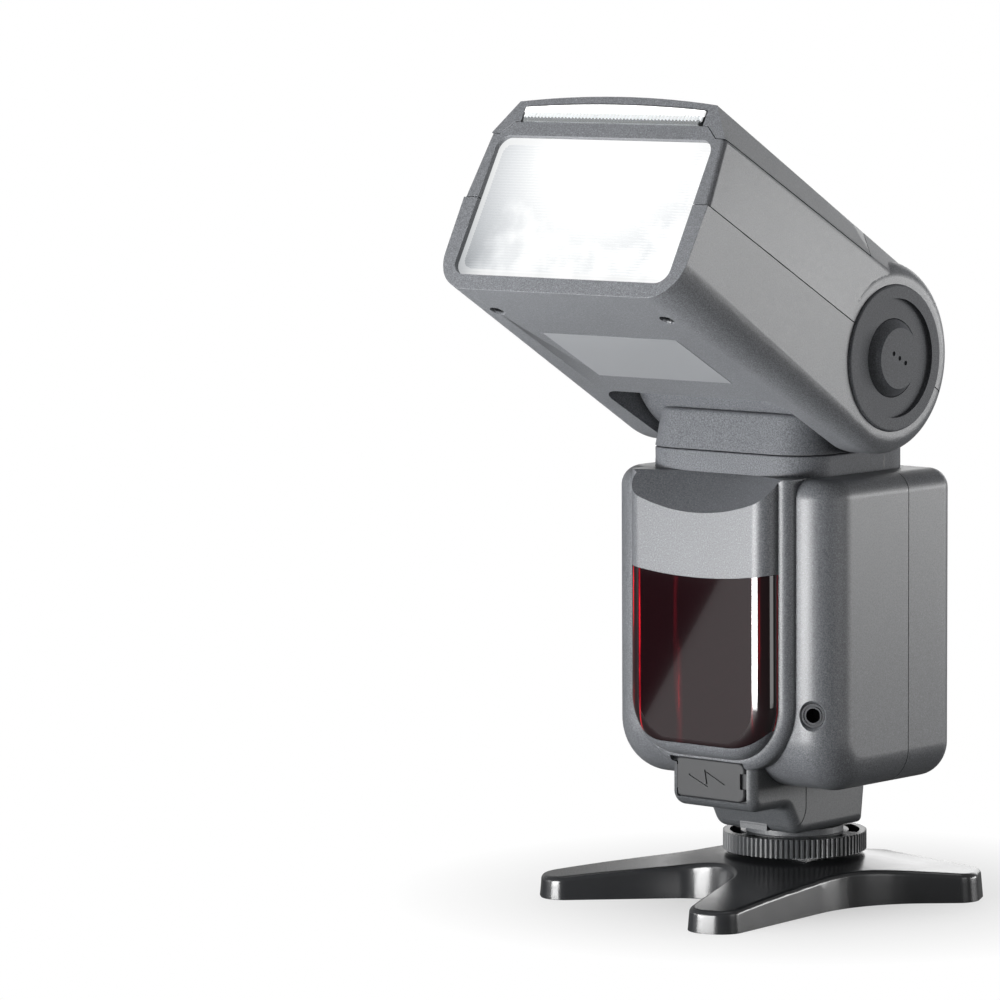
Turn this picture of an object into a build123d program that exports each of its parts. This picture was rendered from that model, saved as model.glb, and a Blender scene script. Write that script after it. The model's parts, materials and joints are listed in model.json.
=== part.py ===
from build123d import *
import os
from math import cos, radians, sin, sqrt

# Speedlight flash standing on its table stand. Millimetres, +Z up, front towards -Y.
# X = Y = 0 is the axis of the shoe, and Z = 0 is the ground.

# ---- walls and clearances --------------------------------------------------------------
# A cutting shape runs past the part by the reach.
reach = 140.0
wall = 2.0
seam_line = 0.25
seat_gap = 0.1
fit_gap = 0.15
run_gap = 0.3
bearing_gap = 0.06

# ---- stand -----------------------------------------------------------------------------
stand_turn = -12.5
front_leg_reach = 63.0
rear_leg_reach = 46.5
front_leg_angle = 31.5
rear_leg_angle = 50.5
leg_tip_width = 12.6
leg_tip_height = 5.3
leg_draft = 5.0
leg_edge_radius = 1.4
hub_height = 10.3
hub_top_radius = 15.0
tripod_thread_radius = 3.175
bush_radius = 5.2
bush_height = 4.6

# ---- shoe and foot ---------------------------------------------------------------------
plate_width = 18.6
plate_length = 18.2
plate_thickness = 2.0
plate_z = 7.4
plate_neck_width = 12.2
shoe_length = 22.0
shoe_side = 3.1
shoe_rail = 1.5
shoe_floor = 1.5
contact_relief = 0.6
lock_pin_radius = 1.1
lock_pin_y = -6.2
lock_pin_travel = 1.5
ring_radius = 17.7
ring_height = 4.6
ring_teeth = 84
tooth_depth = 0.5
collar_radius = 12.0
contact_radius = 0.8
contact_reach = 0.3
foot_screw_radius = 0.9
foot_screw_head_radius = 1.5

# ---- foot housing ----------------------------------------------------------------------
housing_half_width = 13.0
housing_front_y = -32.4
housing_rear_y = 13.0
housing_chin_z = 24.4
housing_base_z = 17.2
housing_seam_y = -12.0
step_half_width = 4.2
step_setback = 2.8
cover_width = 21.5
cover_bottom_z = 26.9
cover_top_z = 36.7
cover_thickness = 1.8
cover_stand_out = 0.7
cover_hinge_inset = 2.0
cover_swing_room = 0.7

# ---- casing ----------------------------------------------------------------------------
body_half_width = 35.0
body_front_y = -31.0
body_rear_y = 19.0
body_bottom_z = 30.0
body_top_z = 106.0
body_seam_y = 0.1
front_bottom_radius = 14.0
front_corner_radius = 9.0
left_corner_radius = 10.5
rear_corner_radius = 5.0
top_edge_radius = 4.8
nose_half_width = 22.0
nose_front_y = -38.7
nose_bottom_z = 37.5
nose_bottom_radius = 14.0
nose_edge_radius = 4.5
nose_cove_radius = 3.0
scoop_radius = 68.0
scoop_front_z = 97.2
scoop_rise = 37.0
lens_bottom_z = 41.0
lens_top_z = 81.6
lens_top_rise = 2.2
lens_corner_radius = 13.5
lens_thickness = 1.2
lens_ledge = 1.6
lens_wrap_y = -33.6
sync_angle = -68.0
sync_z = 49.6
sync_bore_radius = 1.75
sync_barrel_radius = 2.9
sync_length = 7.6
case_screw_radius = 1.2
case_screw_head_radius = 2.3
case_boss_radius = 3.0
case_screw_x = 30.0

# ---- battery bay -----------------------------------------------------------------------
cell_diameter = 14.5
cell_length = 50.5
cell_gap = 0.7
bay_center_y = -2.8
bay_bottom_z = 41.5
bay_wall = 1.4
bay_open_x = -31.4
contact_height = 2.6
door_margin = 1.2
door_thickness = 1.8
door_frame = 3.4
door_travel = 3.0
hinge_rod_radius = 0.5

# ---- boards and rear controls ----------------------------------------------------------
board_thickness = 1.6
key_board_y = 14.6
key_board_thickness = 1.0
capacitor_radius = 11.5
capacitor_length = 48.0
panel_half_width = 27.0
panel_depth = 0.8
panel_bottom_z = 40.0
panel_top_z = 101.0
display_half_width = 22.0
display_bottom_z = 78.0
display_top_z = 98.0
key_travel = 0.5
key_stand_out = 1.0
key_flange = 0.8
key_row_z = 70.5
key_pitch = 12.6
key_width = 8.6
key_height = 4.4
pad_z = 54.0
pad_radius = 10.2
set_radius = 4.2
pilot_x = -20.0
pilot_radius = 3.0
switch_x = 20.0
switch_travel = 5.0
switch_width = 4.4
switch_length = 6.0

# ---- neck ------------------------------------------------------------------------------
neck_half_width = 26.0
neck_depth = 43.6
neck_center_y = -6.7
neck_corner_radius = 10.0
neck_seam_z = 111.1
neck_gap = 0.25
lowest_tilt = -7.0
head_clearance = 0.4
yoke_front_height = 9.6
yoke_rear_height = 2.6
spigot_radius = 17.0
spigot_bore_radius = 12.5
retainer_width = 2.6
retainer_thickness = 1.8

# ---- head ------------------------------------------------------------------------------
head_tilt = 28.8
pivot_y = -9.3
pivot_z = 134.4
head_length = 80.0
head_half_width = 37.5
head_underside = 23.2
head_rear_edge = 4.3
head_corner_radius = 9.5
head_front_shoulder = 36.0
head_front_top_half = 30.2
head_front_top = 26.3
head_crown = 1.7
head_rear_top_half = 33.2
head_rear_crown = 0.3
shoulder_radius = 2.5
head_seam_v = 0.85
cover_seam_v = 17.6
cover_start_u = 19.0
tray_v = 20.8
tray_half_width = 29.5
tray_slope = 3.6
drum_gap = 0.4
drum_half_width = 26.6
drum_wall = 3.0
cheek_gap = 0.8
opening_front_u = 23.8
opening_corner_radius = 5.5
opening_rear_angle = 128.0
disc_radius = 17.6
disc_recess_radius = 14.3
disc_recess = 1.0
disc_stand_out = 0.7
disc_depth = 3.6
boss_base_radius = 9.3
boss_top_radius = 7.3
boss_height = 2.2
release_travel = 1.5
release_pin_radius = 3.0
trunnion_radius = 11.0
trunnion_length = 4.0
sleeve_wall = 1.6
window_half_width = 33.0
window_low_v = -19.4
window_high_v = 17.3
window_corner_radius = 3.6
window_recess = 1.0
window_flange = 1.2
slot_half_width = 28.0
slot_side_v = 25.0
slot_rise = 1.1
panel_thickness = 1.2
card_thickness = 0.6
tray_length = 38.0
tube_radius = 2.0
reflector_half_width = 20.8
reflector_half_height = 15.0
reflector_depth = 17.0
reflector_wall = 0.8
lead_screw_radius = 1.25
guide_rod_radius = 1.0
side_channel_x = 31.6
rod_v = -9.0
screw_v = 2.0
head_screw_x = 26.1
head_screw_inset = 12.0
head_screw_radius = 1.2
label_half_width = 20.5
label_length = 23.3
label_inset = 23.5
label_thickness = 0.3
motor_radius = 3.4
motor_length = 6.5

# ---- sizes that follow from these ------------------------------------------------------
plate_top_z = plate_z + plate_thickness
ring_bottom_z = plate_top_z + shoe_rail + 2 * seat_gap
ring_top_z = ring_bottom_z + ring_height
shoe_half_width = plate_width / 2 + shoe_side
shoe_base_z = plate_z - shoe_floor - contact_relief
bay_depth = 2 * cell_diameter + 3 * cell_gap
bay_length = cell_length + 2 * contact_height
bay_y0 = bay_center_y - bay_depth / 2
bay_y1 = bay_center_y + bay_depth / 2
bay_top_z = bay_bottom_z + bay_depth
bay_end_x = bay_open_x + bay_length
door_y0 = bay_y0 - door_margin
door_y1 = bay_y1 + door_margin
door_z0 = bay_bottom_z - door_margin
door_z1 = bay_top_z + door_margin
door_outer_x = -body_half_width
hinge_x = door_outer_x + door_thickness / 2
hinge_z = door_z0 + door_thickness / 2
main_board_z = bay_top_z + bay_wall + 1.0
capacitor_z = main_board_z + board_thickness + capacitor_radius
key_board_face = key_board_y + key_board_thickness
key_flange_y = key_board_face + key_travel + seat_gap
panel_face_y = body_rear_y
panel_back_y = body_rear_y - panel_depth
yoke_base_z = neck_seam_z + neck_gap
drum_radius = head_underside - wall - drum_gap
opening_half_width = drum_half_width + cheek_gap
tray_deck = 1.6
head_screw_u = head_length - head_screw_inset
label_u1 = head_length - label_inset
label_u0 = label_u1 - label_length
disc_face_x = head_half_width + disc_stand_out
disc_back_x = disc_face_x - disc_depth
boss_foot_x = disc_face_x - disc_recess
window_center_v = (window_low_v + window_high_v) / 2
zoom_front_u = head_length - wall - 3.0
neck_place = Pos(0, neck_center_y, 0)
head_place = Pos(0, pivot_y, pivot_z) * Rot(-head_tilt, 0, 0)


# ---- shapes ----------------------------------------------------------------------------
def block(x0, x1, y0, y1, z0, z1):
    return Pos((x0 + x1) / 2, (y0 + y1) / 2, (z0 + z1) / 2) * Box(x1 - x0, y1 - y0, z1 - z0)


def rod(radius, start, direction, length):
    frame = Plane(origin=start, z_dir=direction)
    return frame * Pos(0, 0, length / 2) * Cylinder(radius, length)


def upright(radius, x, y, z0, z1):
    return rod(radius, (x, y, z0), (0, 0, 1), z1 - z0)


def crosswise(radius, y, z, x0, x1):
    return rod(radius, (x0, y, z), (1, 0, 0), x1 - x0)


def along_x(outline, x0, x1):
    return extrude(Plane.YZ.offset(x0) * make_face(outline), amount=x1 - x0)


def along_y(outline, y0, y1):
    return extrude(Plane.XZ.offset(-y1) * make_face(outline), amount=y1 - y0)


def along_z(outline, z0, z1):
    return extrude(Plane.XY.offset(z0) * make_face(outline), amount=z1 - z0)


def loop(*points):
    return Polyline(*points, close=True)


def rounded(x0, x1, y0, y1, radius):
    corners = [(x0, y0), (x1, y0), (x1, y1), (x0, y1)]
    return FilletPolyline(*corners, radius=radius, close=True)


def polar(radius, angle):
    return (radius * cos(radians(angle)), radius * sin(radians(angle)))


def edges_on(part, axis, place):
    flat = [e for e in part.edges() if abs(tuple(e.bounding_box().min)[axis] - place) < 0.01]
    return [e for e in flat if abs(tuple(e.bounding_box().max)[axis] - place) < 0.01]


# ---- stand -----------------------------------------------------------------------------
def stand_outline():
    front = -90 + stand_turn
    rear = front + 180
    legs = [
        (front + front_leg_angle, front_leg_reach),
        (rear - rear_leg_angle, rear_leg_reach),
        (rear + rear_leg_angle, rear_leg_reach),
        (front - front_leg_angle, front_leg_reach),
    ]
    side_valley = 87.3
    valleys = [
        (polar(23.5, rear - side_valley), 34.0),
        (polar(26.0, rear), 22.0),
        (polar(23.5, rear + side_valley), 34.0),
        (polar(13.0, front), 12.0),
    ]
    points = []
    radii = []
    for (angle, reach), (valley, valley_radius) in zip(legs, valleys):
        tip = Vector(*polar(reach, angle))
        across = Vector(*polar(leg_tip_width / 2, angle + 90))
        points += [tip - across, tip + across, valley]
        radii += [leg_tip_width * 0.46, leg_tip_width * 0.46, valley_radius]
    return FilletPolyline(*points, radius=radii, close=True)


def hub_profile():
    reach = max(front_leg_reach, rear_leg_reach)
    low = leg_tip_height
    rise = hub_height - leg_tip_height
    heights = [(hub_top_radius, 0.98), (27, 0.62), (37, 0.44), (48, 0.28)]
    ridge = [(r, low + rise * share) for r, share in heights]
    top = Spline((0, hub_height), *ridge, (reach, low), tangents=((1, 0), (1, -0.1)))
    rim = Polyline((reach, low), (reach + 9, low - 1), (reach + 9, 0), (0, 0), (0, hub_height))
    return Plane.XZ * make_face(top + rim)


def make_stand_base():
    legs = extrude(make_face(stand_outline()), amount=hub_height + 2, taper=leg_draft)
    base = legs & revolve(hub_profile(), Axis.Z)
    rim = [e for e in base.edges() if e.bounding_box().min.Z > leg_tip_height / 2 and e.length > 2]
    base = fillet(rim, leg_edge_radius)
    pocket = shoe_half_width + seat_gap
    reach = shoe_length / 2 + seat_gap
    base -= block(-pocket, pocket, -reach, reach, shoe_base_z, hub_height + 5)
    lane = plate_width / 2 + 3 * seat_gap
    base -= block(-lane, lane, 0, rear_leg_reach, plate_z - lock_pin_travel, hub_height + 5)
    base -= upright(bush_radius, 0, 0, -1, bush_height)
    base -= upright(tripod_thread_radius + 0.4, 0, 0, bush_height - 1, shoe_base_z + 1)
    for x, y in shoe_screw_places():
        base -= upright(1.0, x, y, 1.6, shoe_base_z + 1)
    return base


def make_tripod_bush():
    bush = upright(bush_radius - seat_gap / 2, 0, 0, 0, bush_height)
    return bush - upright(tripod_thread_radius, 0, 0, 0, bush_height + 1)


def shoe_screw_places():
    return [(-6.9, 0), (6.9, 0)]


def make_stand_shoe():
    rail_top_z = plate_top_z + shoe_rail + seat_gap
    half = shoe_length / 2
    shoe = block(-shoe_half_width, shoe_half_width, -half, half, shoe_base_z, rail_top_z)
    channel = plate_width / 2 + seat_gap
    stop = -plate_length / 2 - seat_gap
    shoe -= block(-channel, channel, stop, half + 1, plate_z - 0.02, plate_top_z + seat_gap)
    relief = plate_neck_width / 2
    shoe -= block(-relief, relief, stop, half + 1, plate_z - contact_relief, plate_z + 1)
    throat = plate_neck_width / 2 + seat_gap * 3
    shoe -= block(-throat, throat, stop, half + 1, plate_z, rail_top_z + 1)
    shoe -= upright(lock_pin_radius + 0.2, 0, lock_pin_y, shoe_base_z - 1, plate_z + 1)
    for x, y in shoe_screw_places():
        shoe -= upright(1.1, x, y, shoe_base_z - 1, plate_z + 1)
        shoe -= upright(1.9, x, y, plate_z - 1.0, plate_z + 1)
    return shoe


def make_shoe_screws():
    screws = []
    for x, y in shoe_screw_places():
        screw = upright(0.95, x, y, 2.0, plate_z - 0.5)
        head = upright(1.75, x, y, plate_z - 0.98, plate_z - 0.15)
        slot = block(x - 1.2, x + 1.2, y - 0.2, y + 0.2, plate_z - 0.45, plate_z)
        screws.append(screw + head - slot)
    return Compound(children=screws)


# ---- foot ------------------------------------------------------------------------------
def contact_places():
    return [(0, 0), (-3.4, 3.6), (3.4, 3.6), (-3.4, -2.8), (3.4, -2.8)]


def foot_screw_places():
    return [(x, y) for x in (-4.3, 4.3) for y in (-6.9, 6.9)]


def make_mounting_foot():
    half = plate_width / 2
    long = plate_length / 2
    plate = block(-half, half, -long, long, plate_z, plate_top_z)
    plate = fillet(plate.edges().filter_by(Axis.Z), 1.0)
    neck = plate_neck_width / 2
    foot = plate + block(-neck, neck, -long, long, plate_top_z, ring_bottom_z)
    foot += upright(collar_radius, 0, 0, ring_bottom_z - seat_gap, housing_base_z)
    for x, y in contact_places():
        foot -= upright(contact_radius + 0.1, x, y, plate_z - 1, plate_z + 5.4)
    foot -= upright(lock_pin_radius + 0.1, 0, lock_pin_y, plate_z - 1, plate_z + 8.5)
    for x, y in foot_screw_places():
        foot -= upright(foot_screw_radius + 0.1, x, y, plate_z - 1, housing_base_z + 1)
        foot -= upright(foot_screw_head_radius + 0.1, x, y, plate_z - 1, plate_z + 1.1)
    return foot


def make_foot_screws():
    screws = []
    for x, y in foot_screw_places():
        screw = upright(foot_screw_radius, x, y, plate_z + 0.9, housing_base_z + 5.8)
        screw += upright(foot_screw_head_radius, x, y, plate_z + 0.1, plate_z + 1)
        screws.append(screw - upright(0.6, x, y, plate_z, plate_z + 0.6))
    return Compound(children=screws)


def make_contact_pins():
    tip = plate_z - contact_reach
    pins = [upright(contact_radius, x, y, tip, plate_z + 4.8) for x, y in contact_places()]
    return Compound(children=[fillet(p.edges().group_by(Axis.Z)[0], 0.3) for p in pins])


def make_lock_pin():
    pin = upright(lock_pin_radius, 0, lock_pin_y, plate_z + 0.2, plate_z + 8.3)
    return chamfer(pin.edges().group_by(Axis.Z)[0], 0.3)


def make_lock_ring():
    points = []
    for tooth in range(ring_teeth):
        for share, radius in ((0, -tooth_depth), (0.3, 0), (0.65, 0)):
            points.append(polar(ring_radius + radius, (tooth + share) * 360 / ring_teeth))
    ring = along_z(loop(*points), ring_bottom_z, ring_top_z)
    ring -= upright(collar_radius + bearing_gap, 0, 0, ring_bottom_z - 1, ring_top_z + 1)
    dish = upright(ring_radius - 1.7, 0, 0, ring_top_z - 1.8, ring_top_z + 1)
    dish -= upright(collar_radius + 1.3, 0, 0, ring_top_z - 2, ring_top_z + 2)
    for spoke in range(6):
        dish -= Rot(0, 0, spoke * 60 + 15) * block(10, 20, -1.6, 1.6, 0, ring_top_z + 2)
    return ring - dish


# ---- foot housing ----------------------------------------------------------------------
def housing_form():
    low = housing_base_z
    high = body_bottom_z + 12
    chin_rear = housing_front_y + 13.4
    side = [
        (housing_front_y, housing_chin_z),
        (chin_rear, housing_chin_z),
        (chin_rear + 4.0, low),
        (housing_rear_y - 1.6, low),
        (housing_rear_y, body_bottom_z),
        (housing_rear_y, high),
        (housing_front_y, high),
    ]
    radii = [3.6, 2.5, 4.0, 0.8, 0, 0, 0]
    form = along_x(FilletPolyline(*side, radius=radii, close=True), -housing_half_width, housing_half_width)
    front = [e for e in form.edges().filter_by(Axis.Z) if e.center().Y < housing_front_y + 0.1]
    form = fillet(front, 2.6)
    front_y = chin_rear + step_setback
    step = block(-step_half_width, step_half_width, front_y, front_y + 5.0, low + 0.4, housing_chin_z)
    return form + step - body_outside()


def housing_front_region(shift):
    seam = housing_seam_y + shift
    low = housing_base_z + 1.6
    high = body_bottom_z + 14
    down = Line((seam, high), (seam, low + 5))
    bend = RadiusArc((seam, low + 5), (seam - 5, low), 5.6)
    rest = Polyline((seam - 5, low), (-45, low), (-45, high), (seam, high))
    return along_x(down + bend + rest, -20, 20)


def power_socket_cavity():
    back = housing_front_y + 11
    front = housing_front_y + cover_thickness - cover_stand_out
    return block(-8.2, 8.2, front - 1, back, cover_bottom_z + 1.2, cover_top_z - 1.2)


def cover_recess():
    half = cover_width / 2 + fit_gap
    depth = housing_front_y + cover_thickness - cover_stand_out
    low = cover_bottom_z - fit_gap
    return block(-half, half, nose_front_y, depth, low, cover_top_z + fit_gap)


def cover_swing_relief():
    radius = cover_thickness / 2
    y = housing_front_y - cover_stand_out + radius
    high = cover_top_z + fit_gap
    room = cover_thickness + cover_swing_room
    return upright(room, radius - cover_width / 2, y, high - 2 * cover_hinge_inset, high)


def make_foot_housing_front():
    front = housing_form() & housing_front_region(0)
    front = front - cover_recess() - power_socket_cavity()
    return largest(front)


def make_foot_housing_rear():
    rear = housing_form() - housing_front_region(seam_line)
    for x, y in foot_screw_places():
        rear -= upright(foot_screw_radius + 0.1, x, y, housing_base_z - 1, housing_base_z + 6)
    rear -= block(-8, 8, -4.5, 4.5, housing_base_z + 3, body_bottom_z + 1)
    return largest(rear)


def largest(part):
    return sorted(part.solids(), key=lambda s: s.volume)[-1]


def bolt_mark(depth_y):
    marks = Part()
    turns = [(-6.2, 0.4), (-0.7, -1.9), (-1.4, 1.8), (4.6, -1.0)]
    middle = (cover_bottom_z + cover_top_z) / 2 + 0.3
    for (xa, za), (xb, zb) in zip(turns, turns[1:]):
        length = sqrt((xb - xa) ** 2 + (zb - za) ** 2)
        frame = Plane((xa, depth_y, middle + za), x_dir=(xb - xa, 0, zb - za), z_dir=(0, -1, 0))
        marks += frame * Pos(length / 2, 0, 0) * Box(length + 0.4, 0.42, 0.7)
    return marks


def make_socket_cover():
    half = cover_width / 2
    face = housing_front_y - cover_stand_out
    barrel = cover_thickness / 2
    low = cover_bottom_z + cover_hinge_inset
    high = cover_top_z - cover_hinge_inset
    cover = along_y(rounded(-half, half, cover_bottom_z, cover_top_z, 2.0), face, face + cover_thickness)
    cover = fillet([e for e in cover.edges() if e.center().Y < face + 0.01], 0.6)
    cover -= block(-half - 1, barrel - half, face - 1, face + 3, cover_bottom_z - 1, cover_top_z + 1)
    cover += upright(barrel, barrel - half, face + barrel, low, high)
    cover -= block(half - 1.3, half + 1, face - 1, face + 0.9, cover_bottom_z + 3.4, cover_top_z - 2.6)
    return cover - bolt_mark(face)


def make_power_socket():
    back = housing_front_y + 10.9
    front = housing_front_y + cover_thickness - cover_stand_out + 0.3
    low = cover_bottom_z + 1.3
    socket = block(-8.1, 8.1, front, back, low, cover_top_z - 1.3)
    middle = (cover_bottom_z + cover_top_z) / 2
    for x in (-5.0, 0.0, 5.0):
        socket -= rod(1.5, (x, front - 1, middle), (0, 1, 0), 8)
        socket += rod(0.5, (x, front + 1, middle), (0, 1, 0), 7)
    return socket


# ---- casing ----------------------------------------------------------------------------
def scoop(inset):
    along = Vector(0, cos(radians(scoop_rise)), sin(radians(scoop_rise)))
    lift = Vector(0, -along.Z, along.Y) * scoop_radius
    middle = Vector(0, nose_front_y, scoop_front_z) + lift
    return Plane(origin=middle, z_dir=along) * Cylinder(scoop_radius + inset, 120)


def nose_form(inset):
    half = nose_half_width - inset
    front = nose_front_y + inset
    nose = block(-half, half, front, body_front_y + 9, nose_bottom_z + inset, body_top_z - inset)
    floor = edges_on(nose, 2, nose_bottom_z + inset)
    nose = fillet([e for e in floor if abs(e.center().X) > 1], nose_bottom_radius - inset)
    rim = [e for e in edges_on(nose, 1, front) if e.center().Z < body_top_z - inset - 1]
    return fillet(rim, nose_edge_radius - inset)


def body_form(inset):
    half = body_half_width - inset
    front = body_front_y + inset
    rear = body_rear_y - inset
    low = body_bottom_z + inset
    high = body_top_z - inset
    profile = [(front, low), (front, high), (rear, high), (rear, low)]
    ease = [front_bottom_radius - inset, 0, 0, 0]
    body = along_x(FilletPolyline(*profile, radius=ease, close=True), -half, half)
    for x, radius in ((-half, left_corner_radius), (half, front_corner_radius)):
        rim = [e for e in edges_on(body, 0, x) if e.center().Y < rear - 1 and e.center().Z < high - 1]
        body = fillet(rim, radius - inset)
    rear_rim = [e for e in edges_on(body, 1, rear) if e.center().Z < high - 1]
    body = fillet(rear_rim, rear_corner_radius - inset)
    body = fillet(edges_on(body, 2, high), max(top_edge_radius - inset, 0.8))
    return body + nose_form(inset)


def nose_cove():
    half = nose_half_width
    radius = nose_bottom_radius
    low = nose_bottom_z
    face = body_front_y
    cove = nose_cove_radius
    down = Line((half, body_top_z), (half, low + radius))
    turn = RadiusArc((half, low + radius), (half - radius, low), radius)
    across = Line((half - radius, low), (radius - half, low))
    back = RadiusArc((radius - half, low), (-half, low + radius), radius)
    rise = Line((-half, low + radius), (-half, body_top_z))
    path = Plane.XZ.offset(-face) * (down + turn + across + back + rise)
    inner = Polyline((half, face - cove), (half - 2, face - cove), (half - 2, face + 4))
    outer = Polyline((half - 2, face + 4), (half + cove, face + 4), (half + cove, face))
    hollow = RadiusArc((half + cove, face), (half, face - cove), cove)
    section = Plane.XY.offset(body_top_z) * make_face(inner + outer + hollow)
    return sweep(section, path=path)


def body_outside():
    return body_form(0) + nose_cove() - scoop(0)


def body_inside():
    return body_form(wall) - scoop(wall)


def front_half():
    return block(-reach, reach, -reach, body_seam_y - seam_line / 2, 0, reach)


def rear_half():
    return block(-reach, reach, body_seam_y + seam_line / 2, reach, 0, reach)


def lens_region(inset):
    half = nose_half_width + 2 - inset
    low = lens_bottom_z + inset
    side = lens_top_z + lens_top_rise - inset
    radius = lens_corner_radius - inset
    walls = FilletPolyline((-half, side), (-half, low), (half, low), (half, side), radius=radius)
    top = ThreePointArc((half, side), (0, lens_top_z - inset), (-half, side))
    return along_y(walls + top, nose_front_y - 1, lens_wrap_y - inset)


def make_red_lens():
    skin = nose_form(0) - nose_form(lens_thickness)
    return largest(skin & lens_region(seat_gap))


def neck_hole():
    return neck_place * upright(spigot_radius + run_gap, 0, 0, body_top_z - 5, body_top_z + 1)


def sync_mouth():
    centre = Vector(body_half_width - front_corner_radius, body_front_y + front_corner_radius, sync_z)
    outward = Vector(*polar(1, sync_angle))
    return centre + outward * front_corner_radius, outward


def sync_hole():
    mouth, outward = sync_mouth()
    hole = rod(sync_barrel_radius + seat_gap, mouth + outward, -outward, sync_length + 4)
    frame = Plane(origin=mouth + outward * 0.6, z_dir=-outward)
    return hole + frame * Pos(0, 0, 0.9) * Cone(sync_barrel_radius + 1.2, sync_barrel_radius, 1.8)


def sync_boss():
    mouth, outward = sync_mouth()
    return rod(sync_barrel_radius + 1.4, mouth - outward * 0.8, -outward, 5.0)


def case_screw_places():
    low = body_bottom_z + wall + 3.8
    high = body_top_z - wall - 5.5
    return [(x, z) for x in (-case_screw_x, case_screw_x) for z in (low, high)]


def case_bosses(y0, y1):
    bosses = Part()
    for x, z in case_screw_places():
        bosses += rod(case_boss_radius, (x, y0, z), (0, 1, 0), y1 - y0)
    return bosses


def make_case_screws():
    screws = []
    for x, z in case_screw_places():
        screw = rod(case_screw_radius, (x, body_seam_y - 7.5, z), (0, 1, 0), 22.5)
        screw += rod(case_screw_head_radius, (x, body_seam_y + 14.9, z), (0, 1, 0), 1.6)
        screws.append(screw - rod(0.9, (x, body_seam_y + 15.4, z), (0, 1, 0), 3))
    return Compound(children=screws)


def door_recess(margin):
    y0 = door_y0 - margin
    y1 = door_y1 + margin
    depth = door_outer_x + door_thickness + margin
    return block(door_outer_x - 1, depth, y0, y1, door_z0 - door_travel - margin, door_z1 + margin)


def door_frame_form():
    y0 = door_y0 - 2
    y1 = door_y1 + 2
    inner = door_outer_x + door_frame
    return block(door_outer_x + 1, inner, y0, y1, door_z0 - door_travel - 2, door_z1 + 2)


def rod_tracks():
    reach = 1.2
    slot = hinge_rod_radius + 0.12
    y0 = door_y0 - reach
    y1 = door_y1 + reach
    low = hinge_z - door_travel - slot
    return block(hinge_x - slot, hinge_x + slot, y0, y1, low, hinge_z + slot)


def bay_mouth():
    inner = door_outer_x + door_frame + 1
    return block(door_outer_x - 1, inner, bay_y0, bay_y1, bay_bottom_z, bay_top_z)


def casing():
    shell = body_outside() - body_inside()
    shell += door_frame_form() & body_outside()
    return shell - door_recess(fit_gap) - rod_tracks() - bay_mouth() - neck_hole()


def cable_hole():
    return block(-7, 7, -4, 4, body_bottom_z - 1, body_bottom_z + wall + 1)


def make_front_shell():
    shell = casing() & front_half()
    shell = shell + (sync_boss() & body_outside()) - sync_hole()
    shell = shell + (case_bosses(body_seam_y - 9, body_seam_y) & body_outside())
    for x, z in case_screw_places():
        shell -= rod(case_screw_radius, (x, body_seam_y - 8, z), (0, 1, 0), 12)
    seat = nose_form(0) - nose_form(lens_thickness + seat_gap)
    shell -= seat & lens_region(0)
    shell -= nose_form(0) & lens_region(lens_ledge)
    shell = shell - cable_hole() - power_socket_cavity() - cover_recess()
    return largest(shell - cover_swing_relief())


def make_rear_shell():
    shell = casing() & rear_half()
    shell = shell + (case_bosses(body_seam_y, body_rear_y - 0.5) & body_outside())
    for x, z in case_screw_places():
        shell -= rod(case_screw_radius + seat_gap, (x, body_seam_y - 1, z), (0, 1, 0), 30)
        shell -= rod(case_screw_head_radius + fit_gap, (x, body_seam_y + 14.8, z), (0, 1, 0), 9)
    panel = panel_plate(seat_gap)
    shell = shell - panel - key_openings(0.2) - display_opening()
    return largest(shell - cable_hole())


# ---- sockets and sensors ---------------------------------------------------------------
def make_sync_socket():
    mouth, outward = sync_mouth()
    face = mouth - outward * 1.0
    socket = rod(sync_barrel_radius, face, -outward, sync_length)
    socket += rod(sync_barrel_radius + 1.2, face - outward * 5.0, -outward, 2.0)
    ring = rod(sync_barrel_radius - 0.5, face + outward, -outward, 1.3)
    ring -= rod(sync_bore_radius + 0.4, face + outward * 2, -outward, 3)
    socket -= ring
    return socket - rod(sync_bore_radius, face + outward, -outward, sync_length - 0.5)


def make_sensor_board():
    back = body_front_y + 6
    board = block(-17, 17, back, back + 1.2, 46, 84)
    board += block(-13, 13, back - 2.5, back, 66, 70)
    for x in (-9, 9):
        board += rod(3.0, (x, back, 58), (0, -1, 0), 3.4)
    board += block(-6, 6, back + 1.2, back + 3.0, 54, 62)
    return board


def make_assist_lamps():
    back = body_front_y + 6 - 3.4
    lamps = []
    for x in (-9, 9):
        barrel = rod(4.6, (x, back + 3.0, 58), (0, -1, 0), 8.0)
        barrel -= rod(3.1, (x, back + 4, 58), (0, -1, 0), 4.4)
        dome = Pos(x, back - 5.0, 58) * Sphere(4.4)
        lamps.append(largest(barrel + (dome & rod(4.4, (x, back, 58), (0, -1, 0), 6.6))))
    return Compound(children=lamps)


# ---- battery bay -----------------------------------------------------------------------
def make_battery_cradle():
    x0 = door_outer_x + door_frame + seat_gap
    x1 = bay_end_x + bay_wall
    y0 = bay_y0 - bay_wall
    y1 = bay_y1 + bay_wall
    cradle = block(x0, x1, y0, y1, bay_bottom_z - bay_wall, bay_top_z + bay_wall)
    cradle -= block(x0 - 1, bay_end_x, bay_y0, bay_y1, bay_bottom_z, bay_top_z)
    for x in (-18, 14):
        for y in (y0 + 4, y1 - 4):
            cradle += upright(2.4, x, y, body_bottom_z + wall, bay_bottom_z - bay_wall)
            cradle += upright(2.4, x, y, bay_top_z + bay_wall, main_board_z)
    return cradle


def cell_places():
    pitch = (cell_diameter + cell_gap) / 2
    middle_z = bay_bottom_z + bay_depth / 2
    return [(bay_center_y + a * pitch, middle_z + b * pitch) for a in (-1, 1) for b in (-1, 1)]


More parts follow.
